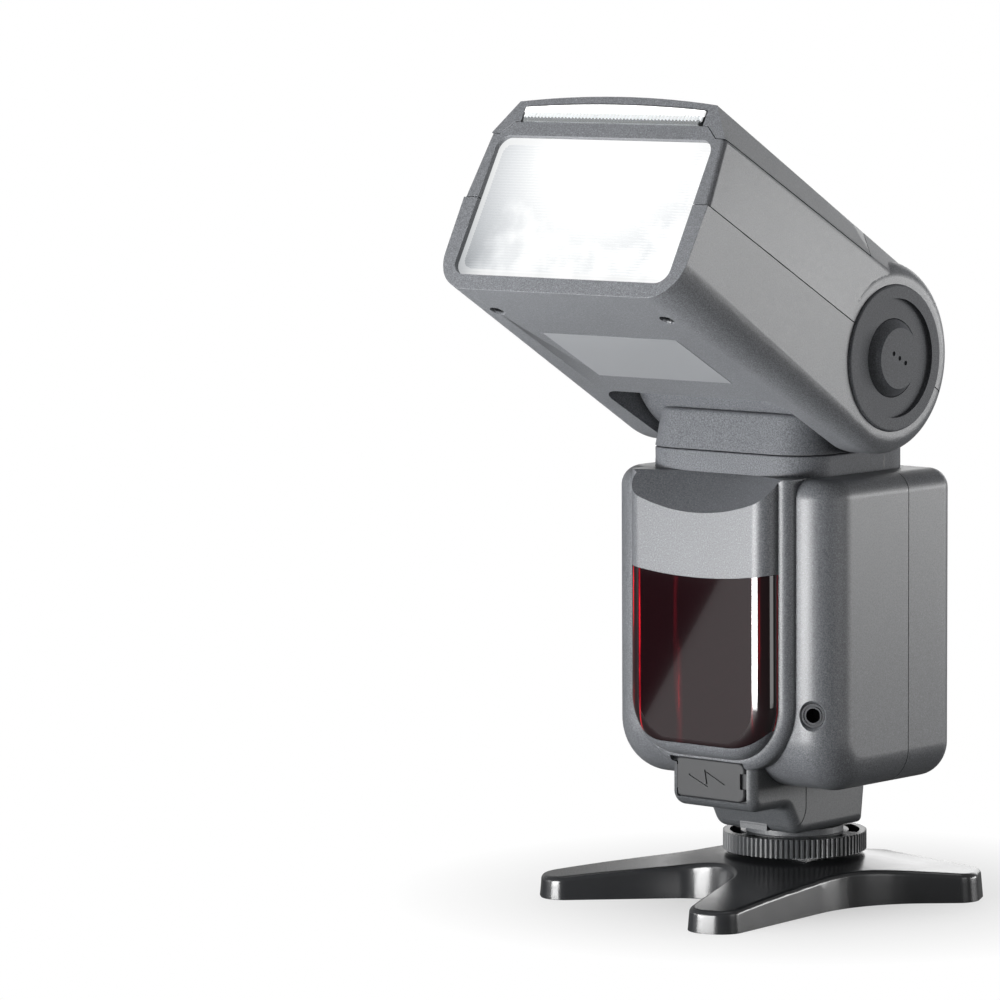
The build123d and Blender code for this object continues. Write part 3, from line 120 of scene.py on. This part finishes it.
# spark-eroded ABS: a fine grit in the tool gives it a grain; its sparkle where light grazes it is painted into
# the base colour as light specks, painted glints
def texturedAbs(name, look):
    material, tree, shader, coords = newMaterial(name)
    grit = addNode(
        tree, "ShaderNodeTexNoise", inputs={"Scale": 1 / (look["grain"] * mm), "Detail": 2.0, "Roughness": 0.6},
        links={"Vector": coords})
    # painted glints: light specks screened over the grain tone
    glintCells = addNode(
        tree, "ShaderNodeTexVoronoi", inputs={"Scale": 1 / (look["sparkle"] * mm)}, links={"Vector": coords})
    drift = addNode(
        tree, "ShaderNodeTexNoise", inputs={"Scale": 1 / (38 * mm), "Detail": 3.0}, links={"Vector": coords})
    stops = ((0.36, look["dark"]), (0.66, look["light"]))
    grain = addNode(tree, "ShaderNodeValToRGB", links={"Fac": grit.outputs["Fac"]}, stops=stops)
    paintedGlintShare = addNode(
        tree, "ShaderNodeMapRange",
        inputs={"From Min": 0.0, "From Max": 0.26, "To Min": look["paintedGlintShare"], "To Max": 0.0},
        links={"Value": glintCells.outputs["Distance"]})
    grainWithPaintedGlints = addNode(
        tree, "ShaderNodeMixRGB", {"blend_type": "SCREEN"}, {"Color2": linear(look["paintedGlintColor"])},
        {"Fac": paintedGlintShare.outputs[0], "Color1": grain.outputs[0]})
    cloud = addNode(
        tree, "ShaderNodeMapRange", inputs={"From Min": 0.3, "From Max": 0.7, "To Min": 0.93, "To Max": 1.05},
        links={"Value": drift.outputs["Fac"]})
    shade = addNode(
        tree, "ShaderNodeVectorMath", {"operation": "SCALE"},
        links={"Vector": grainWithPaintedGlints.outputs[0], "Scale": cloud.outputs[0]})
    tree.links.new(shade.outputs[0], shader.inputs["Base Color"])
    rough = addNode(
        tree, "ShaderNodeMapRange",
        inputs={
            "From Min": 0.3, "From Max": 0.7, "To Min": look["rough"] - 0.07, "To Max": look["rough"] + 0.07,
        },
        links={"Value": grit.outputs["Fac"]})
    tree.links.new(rough.outputs[0], shader.inputs["Roughness"])
    bump = addNode(
        tree, "ShaderNodeBump", inputs={"Strength": look["bump"], "Distance": 0.05 * mm},
        links={"Height": grit.outputs["Fac"]})
    tree.links.new(bump.outputs[0], shader.inputs["Normal"])
    shader.inputs["IOR"].default_value = 1.53
    shader.inputs["Specular IOR Level"].default_value = look.get("specular", 0.5)
    return material


# smooth or satin mouldings, plated and turned metal: one base colour with faint wear and tooling in it
def smoothFinish(name, look):
    material, tree, shader, coords = newMaterial(name)
    haze = addNode(
        tree, "ShaderNodeTexNoise", inputs={"Scale": 1 / (look.get("haze", 9) * mm), "Detail": 4.0},
        links={"Vector": coords})
    fine = addNode(
        tree, "ShaderNodeTexNoise", inputs={"Scale": 1 / (look.get("grain", 0.4) * mm), "Detail": 2.0},
        links={"Vector": coords})
    tint = addNode(
        tree, "ShaderNodeMixRGB",
        inputs={"Color1": linear(look["color"]), "Color2": linear(look.get("worn", look["color"]))},
        links={"Fac": haze.outputs["Fac"]})
    tree.links.new(tint.outputs[0], shader.inputs["Base Color"])
    spread = look.get("spread", 0.015)
    rough = addNode(
        tree, "ShaderNodeMapRange",
        inputs={
            "From Min": 0.3, "From Max": 0.7, "To Min": max(look["rough"] - spread, 0.02),
            "To Max": look["rough"] + spread,
        },
        links={"Value": haze.outputs["Fac"]})
    tree.links.new(rough.outputs[0], shader.inputs["Roughness"])
    bump = addNode(
        tree, "ShaderNodeBump", inputs={"Strength": look.get("bump", 0.05), "Distance": 0.03 * mm},
        links={"Height": fine.outputs["Fac"]})
    tree.links.new(bump.outputs[0], shader.inputs["Normal"])
    shader.inputs["Metallic"].default_value = look.get("metal", 0.0)
    shader.inputs["IOR"].default_value = look.get("ior", 1.5)
    shader.inputs["Transmission Weight"].default_value = look.get("clear", 0.0)
    shader.inputs["Coat Weight"].default_value = look.get("coat", 0.0)
    shader.inputs["Coat Roughness"].default_value = look.get("coatRough", 0.05)
    # optional painted glow: the tint is also emitted as light
    if "glow" in look:
        tree.links.new(tint.outputs[0], shader.inputs["Emission Color"])
        shader.inputs["Emission Strength"].default_value = look["glow"]
    return material


# head space inside a shader: the same turn that the head itself has at rest
def headCoords(tree, coords):
    settings = {"vector_type": "TEXTURE"}
    inputs = {"Location": pivot, "Rotation": (-headTilt, 0, 0)}
    turned = addNode(tree, "ShaderNodeMapping", settings, inputs, {"Vector": coords})
    return addNode(tree, "ShaderNodeSeparateXYZ", links={0: turned.outputs[0]}), turned.outputs[0]


windowRibs = {"pitch": 0.72 * mm, "depth": 0.3 * mm, "corner": 2.6 * mm, "margin": 2.0 * mm, "flange": 1.2 * mm}
windowGlow = {
    "centre": (0.004, -0.079, 0.016), "full": 0.018, "dim": 0.052,
    "outer": -0.0335, "inner": -0.019, "patches": 160,
    "ribbedTones": ((0.0, "6c6f73"), (0.3, "b2b5b8"), (0.62, "dcdee0"), (0.86, "f3f4f4"), (1.0, "ffffff")),
    "plainTones": ((0.0, "a9acaf"), (0.5, "e9eaea"), (1.0, "ffffff")),
}


# ribbed polycarbonate lit from behind by the firing tube: it glows most near the top middle,
# and its outer end shows the ribs and the dim end of the reflector
def glowingWindow(name, ribbed):
    material, tree, shader, coords = newMaterial(name)
    place, turned = headCoords(tree, coords)
    fromTube = addNode(
        tree, "ShaderNodeVectorMath", {"operation": "DISTANCE"}, {1: windowGlow["centre"]}, {0: turned})
    reach = addNode(
        tree, "ShaderNodeMapRange", inputs={"From Min": windowGlow["dim"], "From Max": windowGlow["full"]},
        links={"Value": fromTube.outputs["Value"]})
    side = addNode(
        tree, "ShaderNodeMapRange", inputs={"From Min": windowGlow["outer"], "From Max": windowGlow["inner"]},
        links={"Value": place.outputs["X"]})
    patches = addNode(
        tree, "ShaderNodeTexNoise", inputs={"Scale": windowGlow["patches"], "Detail": 3.0},
        links={"Vector": turned})
    mottle = addNode(
        tree, "ShaderNodeMapRange", inputs={"From Min": 0.35, "From Max": 0.65, "To Min": 0.72},
        links={"Value": patches.outputs["Fac"]})
    phase = addNode(
        tree, "ShaderNodeMath", {"operation": "MULTIPLY"}, {1: 2 * math.pi / windowRibs["pitch"]},
        {0: place.outputs["Z"]})
    rib = addNode(tree, "ShaderNodeMath", {"operation": "SINE"}, links={0: phase.outputs[0]})
    line = addNode(
        tree, "ShaderNodeMapRange", inputs={"From Min": -1.0, "From Max": 1.0, "To Min": 0.84},
        links={"Value": rib.outputs[0]})
    ribs = addNode(
        tree, "ShaderNodeMath", {"operation": "MULTIPLY"}, links={0: side.outputs[0], 1: line.outputs[0]})
    uneven = addNode(
        tree, "ShaderNodeMath", {"operation": "MULTIPLY"}, links={0: ribs.outputs[0], 1: mottle.outputs[0]})
    glow = addNode(
        tree, "ShaderNodeMath", {"operation": "MAXIMUM"}, links={0: reach.outputs[0], 1: uneven.outputs[0]})
    tones = windowGlow["ribbedTones" if ribbed else "plainTones"]
    tone = addNode(tree, "ShaderNodeValToRGB", links={"Fac": glow.outputs[0]}, stops=tones).outputs[0]
    tree.links.new(tone, shader.inputs["Emission Color"])
    shader.inputs["Emission Strength"].default_value = 1.0
    shader.inputs["Base Color"].default_value = linear("26282a")
    shader.inputs["Roughness"].default_value = 0.16
    shader.inputs["IOR"].default_value = 1.58
    return material


# painted light on the red lens: streak bars of painted highlight, and a painted glow at its sides
redLensPaintedLight = {
    "bars": ((-19.6, 0.5, 1.0), (-17.2, 0.45, 0.9), (-5.2, 1.6, 0.42), (17.9, 0.6, 0.55), (19.6, 0.4, 0.4)),
    "backOfEdge": -0.0349, "frontOfEdge": -0.0343,
    "tones": ((0.0, "150609"), (0.25, "34070d"), (0.6, "8c0c18"), (1.0, "cf1c2a")),
}


# red acrylic over a dark chamber: its moulded side walls are painted into the base colour as bright red streak
# bars, painted highlights, and its sides behind the front face as a painted red glow
def redAcrylic(name):
    material, tree, shader, coords = newMaterial(name)
    place = addNode(tree, "ShaderNodeSeparateXYZ", links={0: coords})
    stretch = addNode(tree, "ShaderNodeMapping", inputs={"Scale": (260, 260, 34)}, links={"Vector": coords})
    wander = addNode(
        tree, "ShaderNodeTexNoise", inputs={"Scale": 1.0, "Detail": 4.0}, links={"Vector": stretch.outputs[0]})
    grain = addNode(
        tree, "ShaderNodeMapRange", inputs={"From Min": 0.42, "From Max": 0.62},
        links={"Value": wander.outputs["Fac"]})
    mask = None
    for x, width, strength in redLensPaintedLight["bars"]:
        across = addNode(
            tree, "ShaderNodeMath", {"operation": "SUBTRACT"}, {1: x * mm}, {0: place.outputs["X"]})
        away = addNode(tree, "ShaderNodeMath", {"operation": "ABSOLUTE"}, links={0: across.outputs[0]})
        spread = {"From Min": width * mm, "From Max": 0.25 * width * mm, "To Max": strength}
        band = addNode(tree, "ShaderNodeMapRange", inputs=spread, links={"Value": away.outputs[0]})
        if mask:
            band = addNode(
                tree, "ShaderNodeMath", {"operation": "MAXIMUM"},
                links={0: mask.outputs[0], 1: band.outputs[0]})
        mask = band
    paintedStreakLight = addNode(
        tree, "ShaderNodeMath", {"operation": "MULTIPLY"}, links={0: mask.outputs[0], 1: grain.outputs[0]})
    # painted glow: the lens's sides behind its front face turn bright red
    edge = addNode(
        tree, "ShaderNodeMapRange",
        inputs={"From Min": redLensPaintedLight["backOfEdge"], "From Max": redLensPaintedLight["frontOfEdge"], "To Max": 0.85},
        links={"Value": place.outputs["Y"]})
    bright = addNode(
        tree, "ShaderNodeMath", {"operation": "MAXIMUM"}, links={0: paintedStreakLight.outputs[0], 1: edge.outputs[0]})
    tone = addNode(tree, "ShaderNodeValToRGB", links={"Fac": bright.outputs[0]}, stops=redLensPaintedLight["tones"])
    tree.links.new(tone.outputs[0], shader.inputs["Base Color"])
    shader.inputs["Roughness"].default_value = 0.07
    shader.inputs["IOR"].default_value = 1.49
    shader.inputs["Coat Weight"].default_value = 0.6
    shader.inputs["Coat Roughness"].default_value = 0.03
    return material


# the head's textured ABS is a lighter copy of the body's, painted light
paintedLightHeadAbs = texturedAbs(
    "texturedAbsPaintedLightHead",
    {
        "dark": "56585b", "light": "7c7e82", "paintedGlintColor": "9a9ca0", "paintedGlintShare": 0.35, "grain": 0.30,
        "sparkle": 0.85, "rough": 0.42, "bump": 0.35,
    })
neckAbs = texturedAbs(
    "texturedAbsNeck",
    {
        "dark": "4c4e52", "light": "6c6e72", "paintedGlintColor": "9a9ca0", "paintedGlintShare": 0.2, "grain": 0.30,
        "sparkle": 0.85, "rough": 0.6, "bump": 0.35, "specular": 0.2,
    })
bodyAbs = texturedAbs(
    "texturedAbsBody",
    {
        "dark": "47494c", "light": "6b6d71", "paintedGlintColor": "9a9ca0", "paintedGlintShare": 0.30, "grain": 0.30,
        "sparkle": 0.85, "rough": 0.42, "bump": 0.35,
    })
finishes = {
    "stand_plastic": smoothFinish(
        "polishedAbs", {"color": "1c1d1f", "worn": "242527", "rough": 0.24, "bump": 0.02}),
    "body_plastic": bodyAbs,
    "rim_plastic": smoothFinish("satinAbs", {"color": "2c2d30", "worn": "2f3033", "rough": 0.34, "bump": 0.03}),
    "foot_plastic": texturedAbs(
        "fineGrainAbs",
        {
            "dark": "3a3c3e", "light": "525457", "paintedGlintColor": "808285", "paintedGlintShare": 0.1, "grain": 0.30,
            "sparkle": 0.9, "rough": 0.45, "bump": 0.2,
        }),
    "red_lens": redAcrylic("redAcrylic"),
    "rubber": smoothFinish("mouldedRubber", {"color": "1f2022", "worn": "252628", "rough": 0.6, "bump": 0.2}),
    "ring_plastic": smoothFinish(
        "glassFilledNylon", {"color": "323335", "worn": "3e4042", "rough": 0.38, "bump": 0.15}),
    "window_plastic": glowingWindow("clearPolycarbonate", False),
    "clear_plastic": smoothFinish(
        "patternedPolycarbonate", {"color": "dfe3e5", "rough": 0.12, "clear": 0.75, "ior": 1.58}),
    "card_plastic": smoothFinish("whitePolystyrene", {"color": "ececea", "rough": 0.35}),
    "button_plastic": smoothFinish(
        "satinKeyAbs", {"color": "55575b", "worn": "5d5f63", "rough": 0.4, "bump": 0.1}),
    "display_plastic": smoothFinish(
        "displayAcrylic", {"color": "7c877c", "worn": "808b80", "rough": 0.08, "coat": 1.0}),
    "nickel": smoothFinish("nickelPlate", {"color": "c6c3bd", "rough": 0.22, "metal": 1.0}),
    "steel": smoothFinish("turnedSteel", {"color": "9c9da0", "rough": 0.3, "metal": 1.0}),
    "black_steel": smoothFinish("blackenedSteel", {"color": "232426", "rough": 0.35, "metal": 0.7}),
    "brass": smoothFinish("turnedBrass", {"color": "c09a52", "rough": 0.3, "metal": 1.0}),
    "board": smoothFinish("solderMask", {"color": "15211b", "worn": "1a2720", "rough": 0.35}),
    "capacitor_sleeve": smoothFinish("shrinkSleeve", {"color": "1a1c2a", "rough": 0.25}),
    "reflector_metal": smoothFinish("brightAluminium", {"color": "e4e5e6", "rough": 0.12, "metal": 1.0}),
    "tube_glass": smoothFinish("quartzGlass", {"color": "f5f7fa", "rough": 0.03, "clear": 0.9, "ior": 1.46}),
    "label_film": smoothFinish("satinFilm", {"color": "85878a", "worn": "8b8d90", "rough": 0.35}),
}
ribbedWindow = glowingWindow("ribbedPolycarbonate", True)
# lips of the slot's sheets: their colour is also emitted, a painted glow
paintedGlowClearLip = smoothFinish(
    "polycarbonateWithPaintedGlow", {"color": "b9bcbe", "worn": "d6d8d9", "rough": 0.12, "ior": 1.58, "glow": 0.55})
paintedGlowCardLip = smoothFinish("polystyreneWithPaintedGlow", {"color": "f4f4f3", "rough": 0.4, "glow": 0.8})
darkMarkColour = smoothFinish("darkMarkFinish", {"color": "121314", "worn": "1a1b1c", "rough": 0.5})
satinRim = smoothFinish(
    "satinRimAbs", {"color": "35373a", "worn": "3c3e41", "rough": 0.24, "bump": 0.04, "grain": 0.3})
print("materials made")


def paint(obj, material):
    obj.data.materials.clear()
    obj.data.materials.append(material)


slotOf = {entry["node"]: entry["material_slot"] for entry in frame["record"]["subparts"]}
for name, obj in nodes.items():
    paint(obj, finishes[slotOf[name]])


# the head's front, seen along its own axes
frontY = headBox("head_lower_shell")[0].y
windowLow, windowHigh = headBox("fresnel_window")


frontRim = {"bevel": 1.3, "beside": 1.5 * mm, "below": 1.2 * mm, "top": 25.6 * mm, "depth": 2.2 * mm}


def onFrontRim(edge):
    ends = [headInverse @ v.co for v in edge.verts]
    flush = all(abs(p.y - frontY) < 0.05 * mm for p in ends)
    beside = windowHigh.x + frontRim["beside"]
    below = windowLow.z - frontRim["below"]
    outside = all(abs(p.x) > beside or p.z < below or p.z > frontRim["top"] for p in ends)
    return flush and outside


def isFrontRim(face):
    middle = headInverse @ face.calc_center_median()
    facing = (headInverse.to_3x3() @ face.normal).y
    return middle.y < frontY + frontRim["depth"] and (facing < -0.35 or abs(middle.x) < windowHigh.x + 0.3 * mm)


def bevel(bm, edges, width, segments):
    bmesh.ops.bevel(
        bm, geom=edges, offset=width * mm, offset_type="OFFSET", affect="EDGES", segments=segments, profile=0.5,
        clamp_overlap=True, material=-1)


paint(nodes["sync_socket"], finishes["black_steel"])


# shells: a CAD node's copy, merged, with its edges softened as a moulding's are
def softened(name, width, sharp=28, material=None, rim=0):
    source = nodes[name]
    mesh = source.data.copy()
    bm = bmesh.new()
    bm.from_mesh(mesh)
    bmesh.ops.remove_doubles(bm, verts=bm.verts, dist=0.002 * mm)
    bmesh.ops.dissolve_limit(bm, angle_limit=math.radians(0.6), verts=bm.verts, edges=bm.edges)
    crisp = [e for e in bm.edges if len(e.link_faces) == 2 and e.calc_face_angle(0) > math.radians(sharp)]
    if rim:
        outer = [e for e in crisp if onFrontRim(e)]
        crisp = [e for e in crisp if e not in set(outer)]
        bevel(bm, outer, rim, 5)
        crisp = [e for e in crisp if e.is_valid]
    bevel(bm, crisp, width, 3)
    for face in bm.faces:
        face.material_index = 1 if rim and isFrontRim(face) else 0
    bm.to_mesh(mesh)
    bm.free()
    for polygon in mesh.polygons:
        polygon.use_smooth = True
    mesh.set_sharp_from_angle(angle=math.radians(32))
    piece = bpy.data.objects.new(name + "_moulding", mesh)
    bpy.context.scene.collection.objects.link(piece)
    even = piece.modifiers.new("evenNormals", "WEIGHTED_NORMAL")
    even.keep_sharp = True
    paint(piece, material or finishes[slotOf[name]])
    if rim:
        piece.data.materials.append(satinRim)
    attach(piece, source["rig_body"])
    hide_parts(name)
    return piece


mouldings = {
    "head_lower_shell": (0.25, paintedLightHeadAbs), "head_upper_shell": (0.25, paintedLightHeadAbs), "head_top_cover": (0.25, paintedLightHeadAbs),
    "pivot_disc_left": (0.2, neckAbs), "pivot_disc_right": (0.2, neckAbs), "release_button": (0.25, neckAbs),
    "swivel_yoke": (0.4, neckAbs), "neck_ring": (0.25, neckAbs),
    "front_shell": (0.25, bodyAbs), "rear_shell": (0.25, bodyAbs),
    "foot_housing_front": (0.2, None), "foot_housing_rear": (0.2, None), "socket_cover": (0.15, None),
    "stand_base": (0.3, None), "stand_shoe": (0.2, None), "lock_ring": (0.12, None),
    "battery_door": (0.2, bodyAbs), "red_lens": (0.15, None), "fresnel_window": (0.3, None),
}
for name, (width, material) in mouldings.items():
    rim = frontRim["bevel"] if name in ("head_lower_shell", "head_upper_shell", "head_top_cover") else 0
    piece = softened(name, width, material=material, rim=rim)
    print(name, len(piece.data.polygons), "faces")


# small pieces added to the mouldings
def finished(name, bm, material, body, turn=None):
    mesh = bpy.data.meshes.new(name)
    if turn:
        bmesh.ops.transform(bm, matrix=turn, verts=bm.verts)
    bmesh.ops.recalc_face_normals(bm, faces=bm.faces)
    bm.to_mesh(mesh)
    bm.free()
    piece = bpy.data.objects.new(name, mesh)
    bpy.context.scene.collection.objects.link(piece)
    paint(piece, material)
    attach(piece, body)
    return piece


def addBlock(bm, low, high, turn=None):
    size = [h - l for l, h in zip(low, high)]
    middle = Vector([(l + h) / 2 for l, h in zip(low, high)])
    place = Matrix.Translation(middle) @ Matrix.Diagonal((*size, 1))
    return bmesh.ops.create_cube(bm, size=1.0, matrix=(turn or Matrix()) @ place)["verts"]


# the window's outer face: level ribs that end in a plain border with round corners
def makeWindowRibs():
    margin, corner = windowRibs["margin"], windowRibs["corner"]
    flange = windowRibs["flange"]
    half = windowHigh.x - flange - margin
    low = windowLow.z + flange + margin
    high = windowHigh.z - flange - margin
    count = int((high - low) / windowRibs["pitch"])
    bm = bmesh.new()
    bmesh.ops.create_grid(bm, x_segments=24, y_segments=2 * count, size=1.0)
    for vert in bm.verts:
        row = round((vert.co.y + 1) * count)
        z = low + (high - low) * row / (2 * count)
        into = max(corner - min(z - low, high - z), 0)
        reach = half - corner + math.sqrt(corner ** 2 - into ** 2)
        out = windowRibs["depth"] if row % 2 else 0.04 * mm
        vert.co = Vector((vert.co.x * reach, windowLow.y - out, z))
    finished("window_ribs", bm, ribbedWindow, "head", headSpace)


slotLips = {
    "toothPitch": 1.05 * mm, "toothMargin": 1.4 * mm, "toothRise": 0.55 * mm, "toothLean": 24,
    "cardCrown": 1.05 * mm,
}


# the front lips of the two sheets in the head's slot: a toothed strip below, a white card above, both with a
# painted glow
def makeSlotLips():
    panelLow, panelHigh = headBox("wide_panel")
    cardLow, cardHigh = headBox("bounce_card")
    bm = bmesh.new()
    half = panelHigh.x - slotLips["toothMargin"]
    count = int(2 * half / slotLips["toothPitch"])
    for tooth in range(count):
        x = -half + (tooth + 0.5) * 2 * half / count
        root = Matrix.Translation((x, panelLow.y, panelHigh.z + slotLips["toothRise"]))
        lean = root @ Matrix.Rotation(math.radians(slotLips["toothLean"]), 4, "Y")
        bmesh.ops.create_cone(
            bm, cap_ends=True, segments=4, radius1=0.42 * mm, radius2=0.26 * mm, depth=1.5 * mm, matrix=lean)
    finished("wide_panel_teeth", bm, paintedGlowClearLip, "wide_panel", headSpace)
    bm = bmesh.new()
    addBlock(
        bm, (-panelHigh.x + 0.6 * mm, panelLow.y + 0.25 * mm, panelHigh.z),
        (panelHigh.x - 0.6 * mm, panelLow.y + 0.7 * mm, panelHigh.z + 1.2 * mm))
    finished("wide_panel_lip", bm, paintedGlowClearLip, "wide_panel", headSpace)
    bm = bmesh.new()
    sheet = addBlock(
        bm, (-panelHigh.x + 0.4 * mm, cardLow.y - 0.05 * mm, panelHigh.z + 1.25 * mm),
        (panelHigh.x - 0.4 * mm, cardLow.y + 0.55 * mm, cardHigh.z + 0.25 * mm))
    bmesh.ops.subdivide_edges(
        bm, edges=[e for e in bm.edges if abs(e.verts[0].co.x - e.verts[1].co.x) > 1 * mm], cuts=15)
    for vert in bm.verts:
        if vert.co.z > cardHigh.z:
            vert.co.z += slotLips["cardCrown"] * (1 - (vert.co.x / panelHigh.x) ** 2)
    finished("bounce_card_lip", bm, paintedGlowCardLip, "bounce_card", headSpace)


# small index marks: thin dark strips laid on the surface they mark
def makeMark(name, body, material, low, high, turn=None):
    bm = bmesh.new()
    addBlock(bm, [v * mm for v in low], [v * mm for v in high])
    return finished(name, bm, material, body, turn)


makeWindowRibs()
makeSlotLips()
ringLow, ringHigh = boxOf("neck_ring")
makeMark(
    "ring_mark", "flash", darkMarkColour, (ringHigh.x / mm - 0.03, 1.75, ringHigh.z / mm - 4.6),
    (ringHigh.x / mm + 0.03, 2.15, ringHigh.z / mm - 1.6))
print("slot, ribs and marks made")


# floor, lights and camera
floorLook = {"size": 3.0, "near": 0.03, "far": 0.1, "lit": 0.55, "tones": ((0.0, "7c7c7b"), (1.0, "f4f4f3"))}


def backdrop():
    bm = bmesh.new()
    bmesh.ops.create_grid(bm, x_segments=1, y_segments=1, size=floorLook["size"])
    mesh = bpy.data.meshes.new("floorSheet")
    bm.to_mesh(mesh)
    bm.free()
    floor = bpy.data.objects.new("floorSheet", mesh)
    bpy.context.scene.collection.objects.link(floor)
    material, tree, shader, coords = newMaterial("paperFloor")
    shader.inputs["Roughness"].default_value = 0.7
    far = addNode(tree, "ShaderNodeVectorMath", {"operation": "LENGTH"}, links={0: coords}).outputs["Value"]
    rays = addNode(tree, "ShaderNodeLightPath").outputs
    seen = addNode(
        tree, "ShaderNodeMath", {"operation": "MAXIMUM"},
        links={0: rays["Is Camera Ray"], 1: rays["Is Transmission Ray"]})
    paper = addNode(tree, "ShaderNodeValToRGB", links={"Fac": seen.outputs[0]}, stops=floorLook["tones"])
    tree.links.new(paper.outputs[0], shader.inputs["Base Color"])
    fade = addNode(
        tree, "ShaderNodeMapRange",
        inputs={"From Min": floorLook["near"], "From Max": floorLook["far"], "To Min": floorLook["lit"]},
        links={"Value": far})
    share = addNode(
        tree, "ShaderNodeMath", {"operation": "MULTIPLY"}, links={0: fade.outputs[0], 1: seen.outputs[0]})
    white = addNode(tree, "ShaderNodeEmission", inputs={"Color": linear("ffffff"), "Strength": 1.0})
    blend = addNode(
        tree, "ShaderNodeMixShader", links={0: share.outputs[0], 1: shader.outputs[0], 2: white.outputs[0]})
    output = next(n for n in tree.nodes if n.type == "OUTPUT_MATERIAL")
    tree.links.new(blend.outputs[0], output.inputs["Surface"])
    paint(floor, material)


def softbox(name, place, aim, size, power):
    data = bpy.data.lights.new(name, "AREA")
    data.shape = "RECTANGLE"
    data.size, data.size_y = size
    data.energy = power
    lamp = bpy.data.objects.new(name, data)
    lamp.location = place
    lamp.rotation_euler = (Vector(aim) - Vector(place)).to_track_quat("-Z", "Y").to_euler()
    bpy.context.scene.collection.objects.link(lamp)


middle = (0, 0, 0.1)


def around(azimuth, elevation, distance):
    a, e = math.radians(azimuth), math.radians(elevation)
    flat = distance * math.cos(e)
    return (flat * math.sin(a), -flat * math.cos(a), middle[2] + distance * math.sin(e))


backdrop()
lamps = {
    "frontLight": (around(-42, 3, 1.2), middle, (0.7, 0.25), 4.2),
    "lowLight": ((-0.08, -0.4, 0.012), (0, -0.06, 0.16), (0.26, 0.12), 4.5),
    "sideLight": (around(143, 0, 1.3), middle, (1.0, 0.3), 12),
    "backLight": (around(205, 12, 1.3), middle, (0.8, 0.5), 3),
    "topLight": ((0.05, 0.1, 1.2), middle, (0.6, 0.6), 1.6),
}
for name, (place, aim, size, power) in lamps.items():
    softbox(name, place, aim, size, power)
print("floor and", len(lamps), "lamps placed")

world = bpy.data.worlds.new("studio")
bpy.context.scene.world = world
world.use_nodes = True
tree = world.node_tree
tree.nodes.clear()
rays = addNode(tree, "ShaderNodeLightPath")
plain = addNode(tree, "ShaderNodeBackground", inputs={"Color": linear("ffffff"), "Strength": 0.12})
white = addNode(tree, "ShaderNodeBackground", inputs={"Color": linear("ffffff"), "Strength": 1.0})
sheen = addNode(tree, "ShaderNodeBackground", inputs={"Color": linear("ffffff"), "Strength": 0.4})
shiny = addNode(
    tree, "ShaderNodeMixShader",
    links={0: rays.outputs["Is Glossy Ray"], 1: plain.outputs[0], 2: sheen.outputs[0]})
mixed = addNode(
    tree, "ShaderNodeMixShader",
    links={0: rays.outputs["Is Camera Ray"], 1: shiny.outputs[0], 2: white.outputs[0]})
addNode(tree, "ShaderNodeOutputWorld", links={"Surface": mixed.outputs[0]})

# the camera stands off to the flash's right front, a little above its middle
cameraLook = {
    "azimuth": 41.566, "elevation": 5.758, "roll": -0.299, "distance": 1365.5,
    "right": 72.78, "up": -93.74, "ground": 3.0, "lens": 199.04, "sensor": 36,
}
data = bpy.data.cameras.new("productCamera")
data.sensor_width = cameraLook["sensor"]
data.lens = cameraLook["lens"]
camera = bpy.data.objects.new("productCamera", data)
bpy.context.scene.collection.objects.link(camera)
azimuth, elevation, roll = (math.radians(cameraLook[k]) for k in ("azimuth", "elevation", "roll"))
flatRight = Vector((math.cos(azimuth), math.sin(azimuth), 0))
back = Vector(
    (math.sin(azimuth) * math.cos(elevation), -math.cos(azimuth) * math.cos(elevation), math.sin(elevation)))
flatUp = back.cross(flatRight)
right = math.cos(roll) * flatRight + math.sin(roll) * flatUp
up = -math.sin(roll) * flatRight + math.cos(roll) * flatUp
turn = Matrix((right, up, back)).transposed()
place = back * cameraLook["distance"] - right * cameraLook["right"] - up * cameraLook["up"]
place = (place + Vector((0, 0, cameraLook["ground"]))) * mm
camera.matrix_world = Matrix.Translation(place) @ turn.to_4x4()
data.clip_start = 0.01
data.clip_end = 20
bpy.context.scene.camera = camera
bpy.context.scene.view_settings.view_transform = "Standard"
print("camera at", [round(v, 3) for v in place])


# three small cards that only reflections see: the flat lens mirrors the dark one in its upper left half
def mirroredOnLens(x, z):
    lensY = boxOf("red_lens")[0].y
    mirrored = Vector((place.x, 2 * lensY - place.y, place.z))
    onLens = Vector((x * mm, lensY, z * mm))
    return onLens + (onLens - mirrored).normalized() * 0.2


def makeCard(name, color, glow, corners):
    bm = bmesh.new()
    bm.faces.new([bm.verts.new(corner) for corner in corners])
    mesh = bpy.data.meshes.new(name)
    bm.to_mesh(mesh)
    bm.free()
    card = bpy.data.objects.new(name, mesh)
    bpy.context.scene.collection.objects.link(card)
    material, tree, shader, coords = newMaterial(name + "Cloth")
    shader.inputs["Base Color"].default_value = linear(color)
    shader.inputs["Emission Color"].default_value = linear("ffffff")
    shader.inputs["Emission Strength"].default_value = glow
    shader.inputs["Roughness"].default_value = 0.9
    shader.inputs["Specular IOR Level"].default_value = 0.0
    paint(card, material)
    card.visible_camera = False
    card.visible_diffuse = False
    card.visible_shadow = False


upperLeft = [(8.2, 82.3), (-17.0, 44.4), (-27.0, 44.4), (-27.0, 84.0)]
lowerRight = [(8.2, 82.3), (-17.0, 44.4), (-17.0, 38.0), (24.0, 38.0), (24.0, 86.0), (10.7, 86.0)]
makeCard("darkCard", "080808", 0.0, [mirroredOnLens(*p) for p in upperLeft])
makeCard("paleCard", "080808", 0.7, [mirroredOnLens(*p) for p in lowerRight])
makeCard("edgeCard", "080808", 3.0, [around(a, e, 0.32) for a, e in ((76, -16), (98, -16), (98, 8), (76, 8))])
